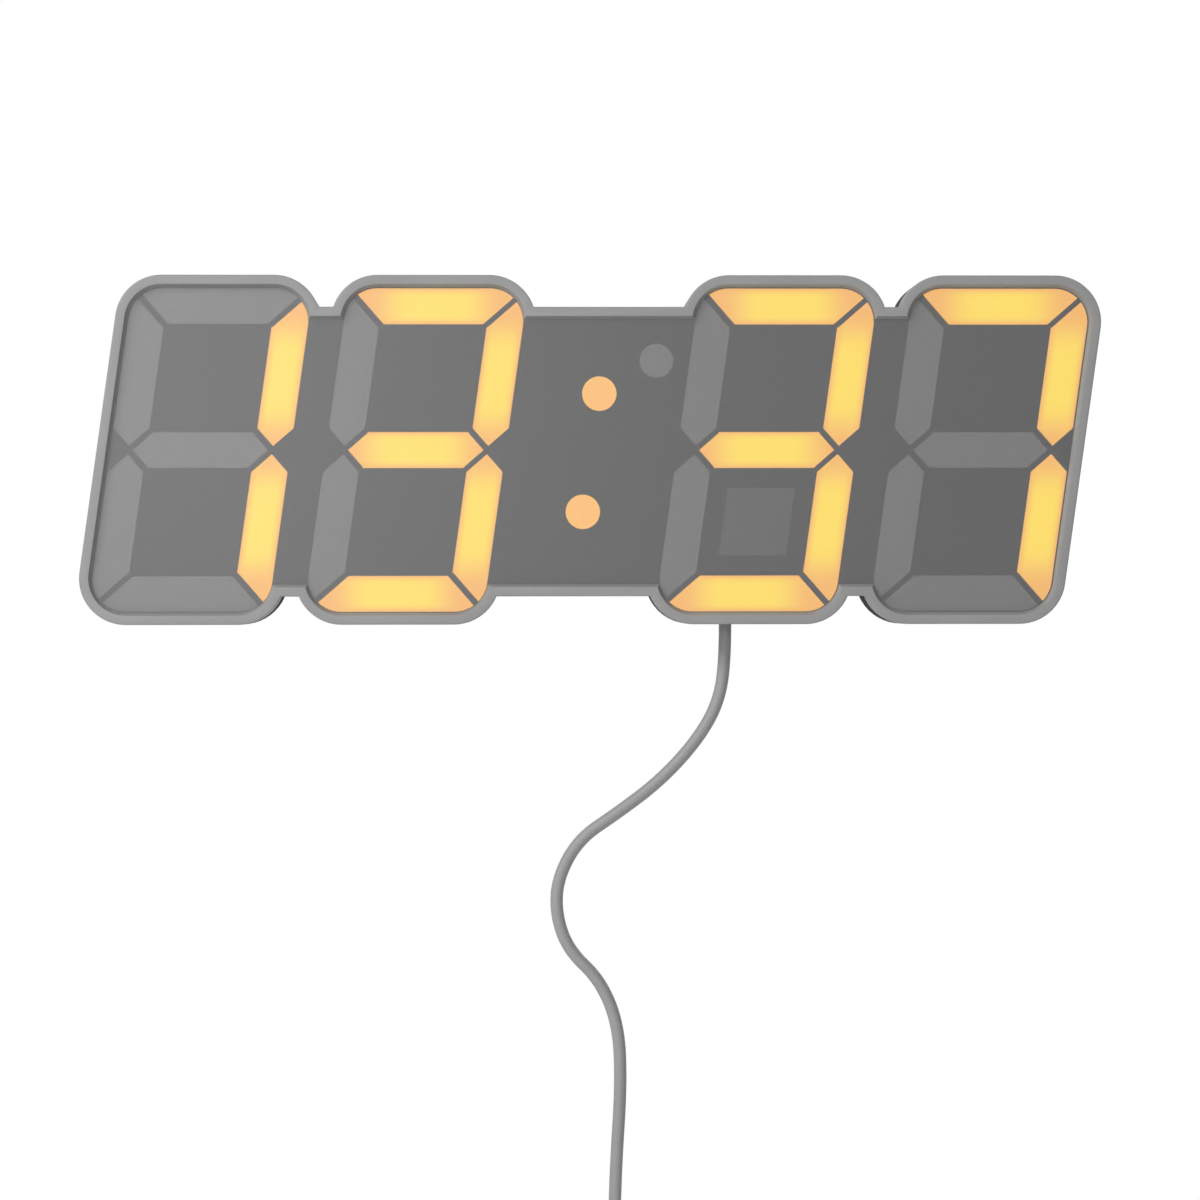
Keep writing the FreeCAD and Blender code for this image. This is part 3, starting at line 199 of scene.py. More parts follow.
BOSS_PROFILE = [(BOSS_RADIUS, BOSS_FRONT), (BOSS_RADIUS, BOSS_BACK), (BOSS_BORE, BOSS_BACK),
                (BOSS_BORE, BOSS_FRONT), (BOSS_RADIUS, BOSS_FRONT)]
WEB_THICK = 3
WEB_FROM_BORE = 0.5
CORNER_STEPS = 18
ROUND_SIDES = 32
LOBE_CENTRES = [(group * GROUP_PITCH + pair * PAIR_PITCH) / 2 for group in (-1, 1) for pair in (-1, 1)]
# Points closer than the gap become one; edges sharper than the angle, in degrees, stay sharp
WELD_GAP = 0.0001
SHARP_FROM = 30


def leaned(across, above):
    """A point of the panel, given by its place along the slant."""
    return (across + above * math.tan(SLANT), above)


def panel_outline(inset):
    """Points round the whole panel, drawn in by an inset: anticlockwise, from the lower left corner."""
    radius = LOBE_CORNER - inset
    above = BAND_ABOVE - inset
    below = BAND_BELOW - inset
    half_tall = LOBE_TALL / 2 - inset
    half_wide = LOBE_WIDTH / 2 - inset / math.cos(SLANT)
    rise = half_tall - radius
    # A corner's arc centre stands off the slanted side by the radius
    reach = half_wide - radius / math.cos(SLANT)
    up_stop = math.asin((above - rise) / radius)
    down_stop = math.asin((below - rise) / radius)
    points = []

    def arc(middle, side, level, start, finish):
        """Add the arc of one corner of a lobe, on its left or right side, high or low."""
        across, height = leaned(middle + side * reach, level * rise)
        for number in range(CORNER_STEPS + 1):
            angle = start + (finish - start) * number / CORNER_STEPS
            points.append((across + radius * math.cos(angle), height + radius * math.sin(angle)))

    last = len(LOBE_CENTRES) - 1
    for index, middle in enumerate(LOBE_CENTRES):
        start = math.pi - SLANT if index == 0 else math.pi + down_stop
        finish = 2 * math.pi - SLANT if index == last else 2 * math.pi - down_stop
        arc(middle, -1, -1, start, 1.5 * math.pi)
        arc(middle, 1, -1, 1.5 * math.pi, finish)
    for index, middle in reversed(list(enumerate(LOBE_CENTRES))):
        start = -SLANT if index == last else up_stop
        finish = math.pi - SLANT if index == 0 else math.pi - up_stop
        arc(middle, 1, 1, start, math.pi / 2)
        arc(middle, -1, 1, math.pi / 2, finish)
    return points


def new_piece(name, points, faces):
    """A closed mesh object from points in millimetres, its faces turned outwards."""
    mesh = bpy.data.meshes.new(name)
    mesh.from_pydata([(x * MM, y * MM, z * MM) for x, y, z in points], [], faces)
    shape = bmesh.new()
    shape.from_mesh(mesh)
    bmesh.ops.remove_doubles(shape, verts=shape.verts, dist=WELD_GAP * MM)
    bmesh.ops.recalc_face_normals(shape, faces=shape.faces)
    shape.to_mesh(mesh)
    shape.free()
    piece = bpy.data.objects.new(name, mesh)
    bpy.context.scene.collection.objects.link(piece)
    return piece


def smooth_faces(piece):
    """Smooth shading, except across the edges where the faces turn sharply."""
    piece.data.shade_smooth()
    piece.data.set_sharp_from_angle(angle=math.radians(SHARP_FROM))


def loft(loops, points, faces, closed_ends=False):
    """Add a strip of quads between each pair of equal loops, given as lists of points."""
    first = len(points)
    size = len(loops[0])
    for loop in loops:
        points += loop
    for row in range(len(loops) - 1):
        for step in range(size):
            after = (step + 1) % size
            low = first + row * size
            faces.append((low + step, low + after, low + size + after, low + size + step))
    if closed_ends:
        faces.append(tuple(range(first + size - 1, first - 1, -1)))
        faces.append(tuple(range(first + (len(loops) - 1) * size, first + len(loops) * size)))


def circle(x, y, z, radius, sides=ROUND_SIDES):
    """A circle's points, facing the front."""
    angles = [2 * math.pi * number / sides for number in range(sides)]
    return [(x + radius * math.cos(angle), y, z + radius * math.sin(angle)) for angle in angles]


def boss_places():
    """The eight screws' places: the lower row from left to right, then the upper row."""
    columns = [-GROUP_PITCH / 2, -BOSS_INNER, BOSS_INNER, GROUP_PITCH / 2]
    rows = [-(BAND_BELOW - BOSS_FROM_EDGE), BAND_ABOVE - BOSS_FROM_EDGE]
    return [leaned(column, row) for row in rows for column in columns]


def quarter_turn(steps):
    """Angles from 0 to a quarter of a turn."""
    return [math.pi / 2 * step / steps for step in range(steps + 1)]


def panel_loops(profile):
    """The panel's outline at each of a profile's insets and heights off the wall."""
    return [[(x, -height, z) for x, z in panel_outline(inset)] for inset, height in profile]


# The section runs up the outer wall, over the rim, down to the window and back along its seat
rim_profile = [(0, FRAME_BACK)]
rim_profile += [(RIM_OUTER_ROUND * (1 - math.cos(angle)),
                 FRAME_FRONT - RIM_OUTER_ROUND * (1 - math.sin(angle)))
                for angle in quarter_turn(ROUND_STEPS)]
rim_profile += [(RIM_WIDTH - RIM_INNER_ROUND * (1 - math.sin(angle)),
                 FRAME_FRONT - RIM_INNER_ROUND * (1 - math.cos(angle)))
                for angle in quarter_turn(ROUND_STEPS)]
rim_profile += [(RIM_WIDTH + RIM_SLOPE, WINDOW_FRONT), (SEAT_WALL, WINDOW_FRONT),
                (SEAT_WALL, FRAME_BACK), (0, FRAME_BACK)]
points = []
faces = []
loft(panel_loops(rim_profile), points, faces)
for x, z in boss_places():
    loft([circle(x, -height, z, radius) for radius, height in BOSS_PROFILE], points, faces)
    wall = SEAT_WALL / 2 - BAND_BELOW if z < 0 else BAND_ABOVE - SEAT_WALL / 2
    near = z + math.copysign(BOSS_BORE + WEB_FROM_BORE, wall)
    left = x - WEB_THICK / 2
    right = x + WEB_THICK / 2
    corners = [(left, near), (right, near), (right, wall), (left, wall)]
    loft([[(a, -height, b) for a, b in corners] for height in (BOSS_FRONT, FRAME_BACK)],
         points, faces, closed_ends=True)
front_frame = new_piece("frame_moulding", points, faces)
smooth_faces(front_frame)


def dress(material, *pieces):
    """Give pieces one material in place of what they had."""
    for piece in pieces:
        piece.data.materials.clear()
        piece.data.materials.append(material)


def new_material(name):
    """A material with its node tree and its surface shader."""
    material = bpy.data.materials.new(name)
    material.use_nodes = True
    tree = material.node_tree
    return material, tree, tree.nodes["Principled BSDF"]


DRIFT_SIZE = 30
GLOSS_DRIFT = 0.04


def moulded_plastic(name, dark, light, roughness, grain_size, grain_depth, ior=1.53):
    """An injection-moulded plastic: a fine eroded grain, and slow drifts of colour and gloss."""
    material, tree, surface = new_material(name)
    place = add_node(tree, "ShaderNodeTexCoord").outputs["Object"]
    drift = add_node(tree, "ShaderNodeTexNoise", {
        "Vector": place, "Scale": 1 / (DRIFT_SIZE * MM), "Detail": 3}).outputs["Fac"]
    grain = add_node(tree, "ShaderNodeTexNoise", {
        "Vector": place, "Scale": 1 / (grain_size * MM), "Detail": 2}).outputs["Fac"]
    both = add_node(tree, "ShaderNodeMath", {0: drift, 1: grain}, operation="ADD").outputs[0]
    shade = add_node(tree, "ShaderNodeMapRange", {
        "Value": both, "From Min": 0.7, "From Max": 1.3}).outputs["Result"]
    tint = add_node(tree, "ShaderNodeMix", {
        "Factor": shade, 6: linear_colour(dark), 7: linear_colour(light)}, data_type="RGBA")
    gloss = add_node(tree, "ShaderNodeMapRange", {
        "Value": shade, "To Min": roughness + GLOSS_DRIFT, "To Max": roughness - GLOSS_DRIFT})
    relief = add_node(tree, "ShaderNodeBump", {
        "Height": grain, "Strength": 0.6, "Distance": grain_depth * MM})
    fill_inputs(tree, surface, {
        "Base Color": tint.outputs[2], "Roughness": gloss.outputs["Result"],
        "IOR": ior, "Normal": relief.outputs["Normal"]})
    return material


def stand_for(piece, body, slot, *nodes):
    """Let a piece ride on a body, in place of CAD nodes. The slot is not used."""
    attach(piece, body)
    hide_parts(*nodes)


# Light grey ABS from an eroded mould: an even satin that scatters light and hides fingerprints.
# The grain of a real mould is near 0.1 mm, too fine to show, so it is drawn at 0.5 mm.
frame_abs = moulded_plastic("moulded_abs_light_grey", "#868686", "#8E8E8E", roughness=0.5,
                            grain_size=0.5, grain_depth=0.02)
dress(frame_abs, front_frame)
stand_for(front_frame, "clock", "frame_abs", "front_frame")


# Window: a smoke-grey acrylic sheet, 1.5 mm thick, dropped into the frame's seat from behind.
# Its tint and matt texture are on the front, and its back is clear, with a film of air between
# it and the print. The print and the diffusers show through in soft greys under a broad sheen.
MASK_FRONT = 25
AIR_FILM = 0.05
WINDOW_BACK = MASK_FRONT + AIR_FILM
SHEET_INSET = 1.65
WINDOW_EDGE = 0.1
WINDOW_GRAIN = 0.35
WINDOW_GRAIN_DEEP = 0.01


def lofted_piece(name, *stacks):
    """A piece from stacks of loops, each stack closed at both ends."""
    points = []
    faces = []
    for loops in stacks:
        loft(loops, points, faces, closed_ends=True)
    return new_piece(name, points, faces)


window = lofted_piece("smoke_window", panel_loops([
    (SHEET_INSET, WINDOW_BACK),
    (SHEET_INSET, WINDOW_FRONT - WINDOW_EDGE),
    (SHEET_INSET + WINDOW_EDGE, WINDOW_FRONT),
]))
smooth_faces(window)

# Smoked acrylic, textured in its mould: a broad soft sheen over dimmed forms. Alpha is the share
# of light that the front holds back, and the fine texture is drawn coarser so that it shows.
lens_acrylic, tree, surface = new_material("smoked_acrylic_matt")
place = add_node(tree, "ShaderNodeTexCoord").outputs["Object"]
grain = add_node(tree, "ShaderNodeTexNoise", {
    "Vector": place, "Scale": 1 / (WINDOW_GRAIN * MM), "Detail": 2}).outputs["Fac"]
shade = add_node(tree, "ShaderNodeMapRange", {"Value": grain, "From Min": 0.3, "From Max": 0.7})
tint = add_node(tree, "ShaderNodeMix", {
    "Factor": shade.outputs["Result"], 6: linear_colour("#747474"),
    7: linear_colour("#7A7A7A")}, data_type="RGBA")
relief = add_node(tree, "ShaderNodeBump", {
    "Height": grain, "Strength": 0.5, "Distance": WINDOW_GRAIN_DEEP * MM})
fill_inputs(tree, surface, {
    "Base Color": tint.outputs[2], "Roughness": 0.37, "IOR": 1.49, "Alpha": 0.62,
    "Normal": relief.outputs["Normal"]})

# Its back is polished in the mould and shows nothing of its own
clear_acrylic, tree, surface = new_material("clear_acrylic")
fill_inputs(tree, surface, {"Alpha": 0})
dress(lens_acrylic, window)
window.data.materials.append(clear_acrylic)
for face in window.data.polygons:
    facing_back = face.normal.y > 0.9
    face.material_index = 1 if facing_back else 0
stand_for(window, "clock", "lens_acrylic", "front_lens")


# Segment mask: a thin sheet screen-printed black, laid against the back of the window. Light
# comes through only where the segments, the dots and the sensor's square are cut out of it.
MOTTLE_SIZE = 0.4


def dress_nodes(material, *names):
    """Give CAD nodes one material in place of what they had."""
    dress(material, *[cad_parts[name] for name in names])


# Screen ink dries to a flat black with a faint mottle
mask_print, tree, surface = new_material("screen_printed_black")
place = add_node(tree, "ShaderNodeTexCoord").outputs["Object"]
mottle = add_node(tree, "ShaderNodeTexNoise", {
    "Vector": place, "Scale": 1 / (MOTTLE_SIZE * MM), "Detail": 2})
tint = add_node(tree, "ShaderNodeMix", {
    "Factor": mottle.outputs["Fac"], 6: linear_colour("#191919"),
    7: linear_colour("#232323")}, data_type="RGBA")
fill_inputs(tree, surface, {"Base Color": tint.outputs[2], "Roughness": 0.75})
dress_nodes(mask_print, "segment_mask")


# Diffusers: milky inserts, one in every segment window, flush with the mask. The lit ones glow
# yellow over their three chips and turn peach towards their ends and edges; the unlit ones only
# look a little lighter than the print. The display shows 13:37.
DIGIT_HALF_WIDE = 31.7
DIGIT_HALF_TALL = 57
STROKE = 12.7
BAR_ABOVE = DIGIT_HALF_TALL - STROKE / 2
BAR_ACROSS = DIGIT_HALF_WIDE - STROKE / 2 / math.cos(SLANT)
SEGMENTS = {
    "a": (0, BAR_ABOVE),
    "b": (BAR_ACROSS, BAR_ABOVE / 2),
    "c": (BAR_ACROSS, -BAR_ABOVE / 2),
    "d": (0, -BAR_ABOVE),
    "e": (-BAR_ACROSS, -BAR_ABOVE / 2),
    "f": (-BAR_ACROSS, BAR_ABOVE / 2),
    "g": (0, 0),
}
SHOWN = ["bc", "abcdg", "abcdg", "abc"]
NODE_WELD_GAP = 0.001


def merged_copy(node_name):
    """A mesh of a CAD node with its loose triangles joined."""
    shape = bmesh.new()
    shape.from_mesh(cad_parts[node_name].data)
    bmesh.ops.remove_doubles(shape, verts=shape.verts, dist=NODE_WELD_GAP * MM)
    return shape


def piece_of_copy(name, shape):
    """An object from such a copy, without the normals that its loose triangles had."""
    mesh = bpy.data.meshes.new(name)
    shape.to_mesh(mesh)
    shape.free()
    mesh.attributes.remove(mesh.attributes["custom_normal"])
    piece = bpy.data.objects.new(name, mesh)
    bpy.context.scene.collection.objects.link(piece)
    smooth_faces(piece)
    return piece


def separate_solids(shape):
    """The mesh's solids, each as a list of faces."""
    left = set(shape.faces)
    solids = []
    while left:
        reached = [left.pop()]
        for face in reached:
            for edge in face.edges:
                for beside in edge.link_faces:
                    if beside in left:
                        left.remove(beside)
                        reached.append(beside)
        solids.append(reached)
    return solids


def nearest_segment(faces, middle):
    """The name of the segment that a solid of one digit is."""
    spots = [vertex.co for face in faces for vertex in face.verts]
    x = (min(spot.x for spot in spots) + max(spot.x for spot in spots)) / 2 / MM
    z = (min(spot.z for spot in spots) + max(spot.z for spot in spots)) / 2 / MM
    return min(SEGMENTS, key=lambda name: math.dist((x - middle, z), leaned(*SEGMENTS[name])))


def segments_of(digit, names, piece_name):
    """One piece of a digit's chosen segments; its map gives places along and across each, in mm."""
    node_name = "digit_%d_diffusers" % (digit + 1)
    middle = LOBE_CENTRES[digit]
    shape = merged_copy(node_name)
    layer = shape.loops.layers.uv.new("along_segment")
    dropped = []
    for faces in separate_solids(shape):
        name = nearest_segment(faces, middle)
        if name not in names:
            dropped += faces
            continue
        across, above = SEGMENTS[name]
        for face in faces:
            for loop in face.loops:
                x = loop.vert.co.x / MM - middle
                z = loop.vert.co.z / MM
                beside = x - across - z * math.tan(SLANT)
                if name in "adg":
                    loop[layer].uv = (beside + (z - above) * math.tan(SLANT), z - above)
                else:
                    loop[layer].uv = ((z - above) / math.cos(SLANT), beside * math.cos(SLANT))
    bmesh.ops.delete(shape, geom=dropped, context="FACES")
    piece = piece_of_copy(piece_name, shape)
    stand_for(piece, "clock", "diffuser_milk", node_name)
    return piece


# Opal polycarbonate scatters light inside itself: an even milky grey while its chips are off
CLOUD_SIZE = 6
opal, tree, surface = new_material("opal_polycarbonate")
place = add_node(tree, "ShaderNodeTexCoord").outputs["Object"]
cloud = add_node(tree, "ShaderNodeTexNoise", {
    "Vector": place, "Scale": 1 / (CLOUD_SIZE * MM), "Detail": 3})
tint = add_node(tree, "ShaderNodeMix", {
    "Factor": cloud.outputs["Fac"], 6: linear_colour("#B8B8B8"),
    7: linear_colour("#BEBEBE")}, data_type="RGBA")
fill_inputs(tree, surface, {"Base Color": tint.outputs[2], "Roughness": 0.4, "IOR": 1.58})

# The same opal with its chips on. The core's light is full up to the second distance from a
# segment's middle, along or across it, and gone at the first.
CORE_ALONG = (23.5, 9.0)
CORE_ACROSS = (6.6, 3.6)
GLOW_STOPS = [(0, "#F4AE48"), (0.5, "#FAC63F"), (1, "#FFDA32")]
GLOW_STRENGTH = 2.2
UNDER_GLOW = linear_colour("#2A241C")
glow, tree, surface = new_material("opal_polycarbonate_lit")
on_segment = add_node(tree, "ShaderNodeUVMap", uv_map="along_segment")
span = add_node(tree, "ShaderNodeSeparateXYZ", {0: on_segment.outputs["UV"]})
nearness = []
for axis, (gone, full) in (("X", CORE_ALONG), ("Y", CORE_ACROSS)):
    distance = add_node(tree, "ShaderNodeMath", {0: span.outputs[axis]}, operation="ABSOLUTE")
    near = add_node(tree, "ShaderNodeMapRange", {
        "Value": distance.outputs[0], "From Min": gone, "From Max": full},
        interpolation_type="SMOOTHSTEP")
    nearness.append(near.outputs["Result"])
core = add_node(tree, "ShaderNodeMath", {0: nearness[0], 1: nearness[1]}, operation="MULTIPLY")
ramp = add_node(tree, "ShaderNodeValToRGB", {"Fac": core.outputs[0]})
ramp.color_ramp.elements.new(GLOW_STOPS[1][0])
for stop, (position, code) in zip(ramp.color_ramp.elements, GLOW_STOPS):
    stop.position = position
    stop.color = linear_colour(code)
fill_inputs(tree, surface, {
    "Base Color": UNDER_GLOW, "Emission Color": ramp.outputs["Color"],
    "Emission Strength": GLOW_STRENGTH})

for digit, lit_names in enumerate(SHOWN):
    dark_names = [name for name in SEGMENTS if name not in lit_names]
    dress(glow, segments_of(digit, lit_names, "digit_%d_lit_segments" % (digit + 1)))
    dress(opal, segments_of(digit, dark_names, "digit_%d_dark_segments" % (digit + 1)))


# Dots and the sensor's square: two round lit dots make the colon, a third, unlit, is the degree
# dot of a temperature display, and a square of darker smoke lets the sensor look out.

# One chip lights a whole dot, in an even amber from edge to edge
dot_glow, tree, surface = new_material("opal_polycarbonate_dot")
fill_inputs(tree, surface, {
    "Base Color": UNDER_GLOW, "Emission Color": linear_colour("#FAB551"),
    "Emission Strength": GLOW_STRENGTH})
dress_nodes(dot_glow, "colon_diffusers")
dress_nodes(opal, "degree_diffuser")

# Smoked acrylic with a polished face: darker than the opal and a little glossier
sensor_smoke, tree, surface = new_material("smoked_acrylic_dark")
fill_inputs(tree, surface, {"Base Color": linear_colour("#7A7A7A"), "Roughness": 0.3})
dress_nodes(sensor_smoke, "sensor_window")


# Light boxes: five white polypropylene mouldings, one behind each digit and one in the middle,
# with a well for every segment, so that no light strays into the next one.

# White polypropylene: waxy, opaque and a little warm
white_polypropylene = moulded_plastic("moulded_polypropylene_white", "#E2E2DE", "#EAEAE7",
                                      roughness=0.45, grain_size=0.7, grain_depth=0.02, ior=1.49)
dress_nodes(white_polypropylene, "centre_reflector",
            *["digit_%d_reflector" % (digit + 1) for digit in range(len(SHOWN))])


# Display board: 1.6 mm glass epoxy under green solder mask, routed to the panel's outline. Under
# the mask the copper tracks show as paler lines, and the glass weave gives it a faint ripple.
TRACK_CELL = 5
WEAVE_PITCH = 0.6
WEAVE_DEEP = 0.02
solder_mask, tree, surface = new_material("solder_mask_on_glass_epoxy")
place = add_node(tree, "ShaderNodeTexCoord").outputs["Object"]
cells = add_node(tree, "ShaderNodeTexVoronoi", {
    "Vector": place, "Scale": 1 / (TRACK_CELL * MM), "Randomness": 0.7}, feature="DISTANCE_TO_EDGE")
track = add_node(tree, "ShaderNodeMapRange", {
    "Value": cells.outputs["Distance"], "From Min": 0.06, "From Max": 0.04})
tint = add_node(tree, "ShaderNodeMix", {
    "Factor": track.outputs["Result"], 6: linear_colour("#0F3D26"),
    7: linear_colour("#23603F")}, data_type="RGBA")
weave = add_node(tree, "ShaderNodeTexNoise", {
    "Vector": place, "Scale": 1 / (WEAVE_PITCH * MM), "Detail": 1})
relief = add_node(tree, "ShaderNodeBump", {
    "Height": weave.outputs["Fac"], "Strength": 0.3, "Distance": WEAVE_DEEP * MM})
fill_inputs(tree, surface, {
    "Base Color": tint.outputs[2], "Roughness": 0.28, "Normal": relief.outputs["Normal"]})
dress_nodes(solder_mask, "display_board")


# Segment LEDs: surface-mounted packages of 3.5 by 2.8 mm, three behind each segment and one behind
# each dot. A white case holds a round cup, and a yellow phosphor window fills it.
BOARD_FRONT = 10
LED_HALF_LONG = 1.75
LED_HALF_WIDE = 1.4
LED_HIGH = 0.8
LED_CUP = 1.15
LED_SIDES = 16
# Heights and radii in the cup, as shares of the case's height and of the cup's radius
CUP_PROFILE = [(1, 1), (0.5, 0.85)]
PHOSPHOR_PROFILE = [(0.52, 0.8), (0.85, 0.94), (0.93, 0.5)]
CHIP_PITCH = 13
DOTS = [(0, 19.9), (0, -21.8), (18.5, 31.5)]


def copies_tree():
    """A tree that sets a copy of a pattern on every point, tipped up and turned at random."""
    tree = bpy.data.node_groups.new("copies_on_places", "GeometryNodeTree")
    for name, kind in (("Places", "NodeSocketGeometry"), ("Pattern", "NodeSocketObject"),
                       ("Turn Spread", "NodeSocketFloat"), ("Seed", "NodeSocketInt"),
                       ("Finish", "NodeSocketMaterial")):
        tree.interface.new_socket(name, in_out="INPUT", socket_type=kind)
    tree.interface.new_socket("Copies", in_out="OUTPUT", socket_type="NodeSocketGeometry")
    given = add_node(tree, "NodeGroupInput").outputs
    pattern = add_node(tree, "GeometryNodeObjectInfo", {"Object": given["Pattern"]})
    turned = add_node(tree, "FunctionNodeRandomValue", {
        "Min": 0.0, 3: given["Turn Spread"], "Seed": given["Seed"]}, data_type="FLOAT")
    tipped = add_node(tree, "ShaderNodeCombineXYZ", {0: math.pi / 2, 1: turned.outputs[1]})
    placed = add_node(tree, "GeometryNodeInstanceOnPoints", {
        "Points": given["Places"], "Instance": pattern.outputs["Geometry"],
        "Rotation": tipped.outputs[0]})
    solid = add_node(tree, "GeometryNodeRealizeInstances", {0: placed.outputs[0]})
    finished = add_node(tree, "GeometryNodeSetMaterial", {0: solid.outputs[0], "Material": given["Finish"]})
    add_node(tree, "NodeGroupOutput", {0: finished.outputs[0]})
    return tree


COPIES_TREE = copies_tree()


def copies(name, places, pattern, finish, turn_spread=0.0, seed=1):
    """One mesh of copies of a pattern at places in millimetres; the pattern's Z becomes -Y."""
    points = bpy.data.meshes.new(name + "_places")
    points.from_pydata([Vector(place) * MM for place in places], [], [])
    piece = bpy.data.objects.new(name, points)
    bpy.context.scene.collection.objects.link(piece)
    maker = piece.modifiers.new("copies", "NODES")
    maker.node_group = COPIES_TREE
    sizes = {"Pattern": pattern, "Turn Spread": turn_spread, "Seed": seed, "Finish": finish}
    for socket in COPIES_TREE.interface.items_tree:
        if socket.name in sizes:
            maker[socket.identifier] = sizes[socket.name]
    made = bpy.data.meshes.new_from_object(piece.evaluated_get(bpy.context.evaluated_depsgraph_get()))
    piece.modifiers.clear()
    piece.data = made
    bpy.data.objects.remove(pattern)
    smooth_faces(piece)
    return piece


def cup_rings(profile):
    """Rings in the cup of a pattern that stands on its Z axis."""
    return [[(x, y, LED_HIGH * high) for x, _, y in circle(0, 0, 0, LED_CUP * wide, LED_SIDES)]
            for high, wide in profile]


led_spots = [leaned(*dot) for dot in DOTS]
for middle in LOBE_CENTRES:
    for name, (across, above) in SEGMENTS.items():
        for step in (-CHIP_PITCH, 0, CHIP_PITCH):
            spot = (middle + across + step, above) if name in "adg" else (middle + across, above + step)
            led_spots.append(leaned(*spot))
led_places = [(x, -BOARD_FRONT, z) for x, z in led_spots]

brim = []
for number in range(LED_SIDES):
    angle = 2 * math.pi * number / LED_SIDES
    stretch = 1 / max(abs(math.cos(angle)), abs(math.sin(angle)))
    brim.append((LED_HALF_LONG * stretch * math.cos(angle), LED_HALF_WIDE * stretch * math.sin(angle)))
walls = [[(x, y, height) for x, y in brim] for height in (0, LED_HIGH)]
case_pattern = lofted_piece("led_case_pattern", walls + cup_rings(CUP_PROFILE))
window_pattern = lofted_piece("led_window_pattern", cup_rings(PHOSPHOR_PROFILE))

# White heat-resistant nylon keeps the cup bright; the phosphor window is waxy and deep yellow
led_white = moulded_plastic("moulded_led_case_white", "#E6E5DF", "#EEEDE8", roughness=0.4,
                            grain_size=0.3, grain_depth=0.005)
phosphor = moulded_plastic("cast_phosphor_silicone", "#D9A92E", "#E6BC45", roughness=0.22,
                           grain_size=0.25, grain_depth=0.005, ior=1.41)
for name, pattern, finish in (("led_cases", case_pattern, led_white),
                              ("led_windows", window_pattern, phosphor)):
    stand_for(copies(name, led_places, pattern, finish), "clock", "led_package", "segment_leds")


# Chips: black moulding compound with rows of tinned legs on both sides, soldered to the board's
# rear. The controller reads the buttons, the clock chip keeps the time, the others drive the LEDs.
CHIP_HALF_WIDTHS = {
    "controller_chip": 5,
    "clock_chip": 2,
    "left_driver_chip": 3.8,
    "right_driver_chip": 3.8,
}
LEG_START = 0.1
MARK_LONG = 4
MARK_WIDE = 0.25
MARK_GLOSS = 0.06


def plated_metal(name, dark, light, roughness):
    """A bright metal with drawing marks along X, drawn coarser than real ones so that they show."""
    material, tree, surface = new_material(name)
    place = add_node(tree, "ShaderNodeTexCoord").outputs["Object"]
    drawn = add_node(tree, "ShaderNodeMapping", {"Vector": place, "Scale": (MARK_WIDE / MARK_LONG, 1, 1)})
    marks = add_node(tree, "ShaderNodeTexNoise", {
        "Vector": drawn.outputs["Vector"], "Scale": 1 / (MARK_WIDE * MM), "Detail": 2}).outputs["Fac"]
    tint = add_node(tree, "ShaderNodeMix", {
        "Factor": marks, 6: linear_colour(dark), 7: linear_colour(light)}, data_type="RGBA")
    gloss = add_node(tree, "ShaderNodeMapRange", {
        "Value": marks, "To Min": roughness - MARK_GLOSS, "To Max": roughness + MARK_GLOSS})
    fill_inputs(tree, surface, {
        "Base Color": tint.outputs[2], "Roughness": gloss.outputs["Result"], "Metallic": 1})
    return material


def node_box(name):
    """The lowest and the highest corner of a CAD node, in millimetres."""
    return [Vector(corner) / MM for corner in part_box(name)]


# Moulding compound is a dull charcoal; tinned legs are bright with a soft, grey-white shine
epoxy_black = moulded_plastic("moulded_epoxy_black", "#1C1C1D", "#252526", roughness=0.6,
                              grain_size=0.3, grain_depth=0.01)
tinned_copper = plated_metal("tinned_copper", "#B9B9B4", "#CDCDC9", 0.38)
for name, half_wide in CHIP_HALF_WIDTHS.items():
    shape = merged_copy(name)
    low, high = node_box(name)
    for face in shape.faces:
        off_middle = abs(face.calc_center_median().x / MM - (low.x + high.x) / 2)
        face.material_index = 1 if off_middle > half_wide + LEG_START else 0
    chip = piece_of_copy(name + "_on_legs", shape)
    chip.data.materials.append(epoxy_black)
    chip.data.materials.append(tinned_copper)
    stand_for(chip, "clock", "chip_epoxy", name)


# Other parts on the board: the regulator, sensors and buzzer are black or smoky mouldings, and the
# two capacitors and the clock's crystal have cans of drawn aluminium.
dress_nodes(epoxy_black, "voltage_regulator", "temperature_sensor", "buzzer", "infrared_receiver",
            "light_sensor")

# Drawn aluminium: a cool white metal, brighter than tin
drawn_aluminium = plated_metal("drawn_aluminium", "#BDBFC2", "#D0D2D4", 0.3)
dress_nodes(drawn_aluminium, "filter_capacitors", "clock_crystal")


# Coin cell: a nickel-plated steel can of 20 by 3.2 mm with a smaller lid, in a ring of natural
# nylon on the board. It keeps the time while the supply is off.
CELL_X = -18
CELL_Z = -26
CELL_PROFILE = [(8.6, 3.6), (9, 3.75), (9, 4), (9.6, 4), (9.9, 4.15), (10, 4.4), (10, 6.4), (9.6, 6.8)]
TURNED_SIDES = 48


def turned_piece(name, x, z, profile):
    """A round piece from radii and heights off the wall, in order from its rear to its front."""
    piece = lofted_piece(name, [circle(x, -height, z, radius, TURNED_SIDES) for radius, height in profile])
    smooth_faces(piece)
    return piece


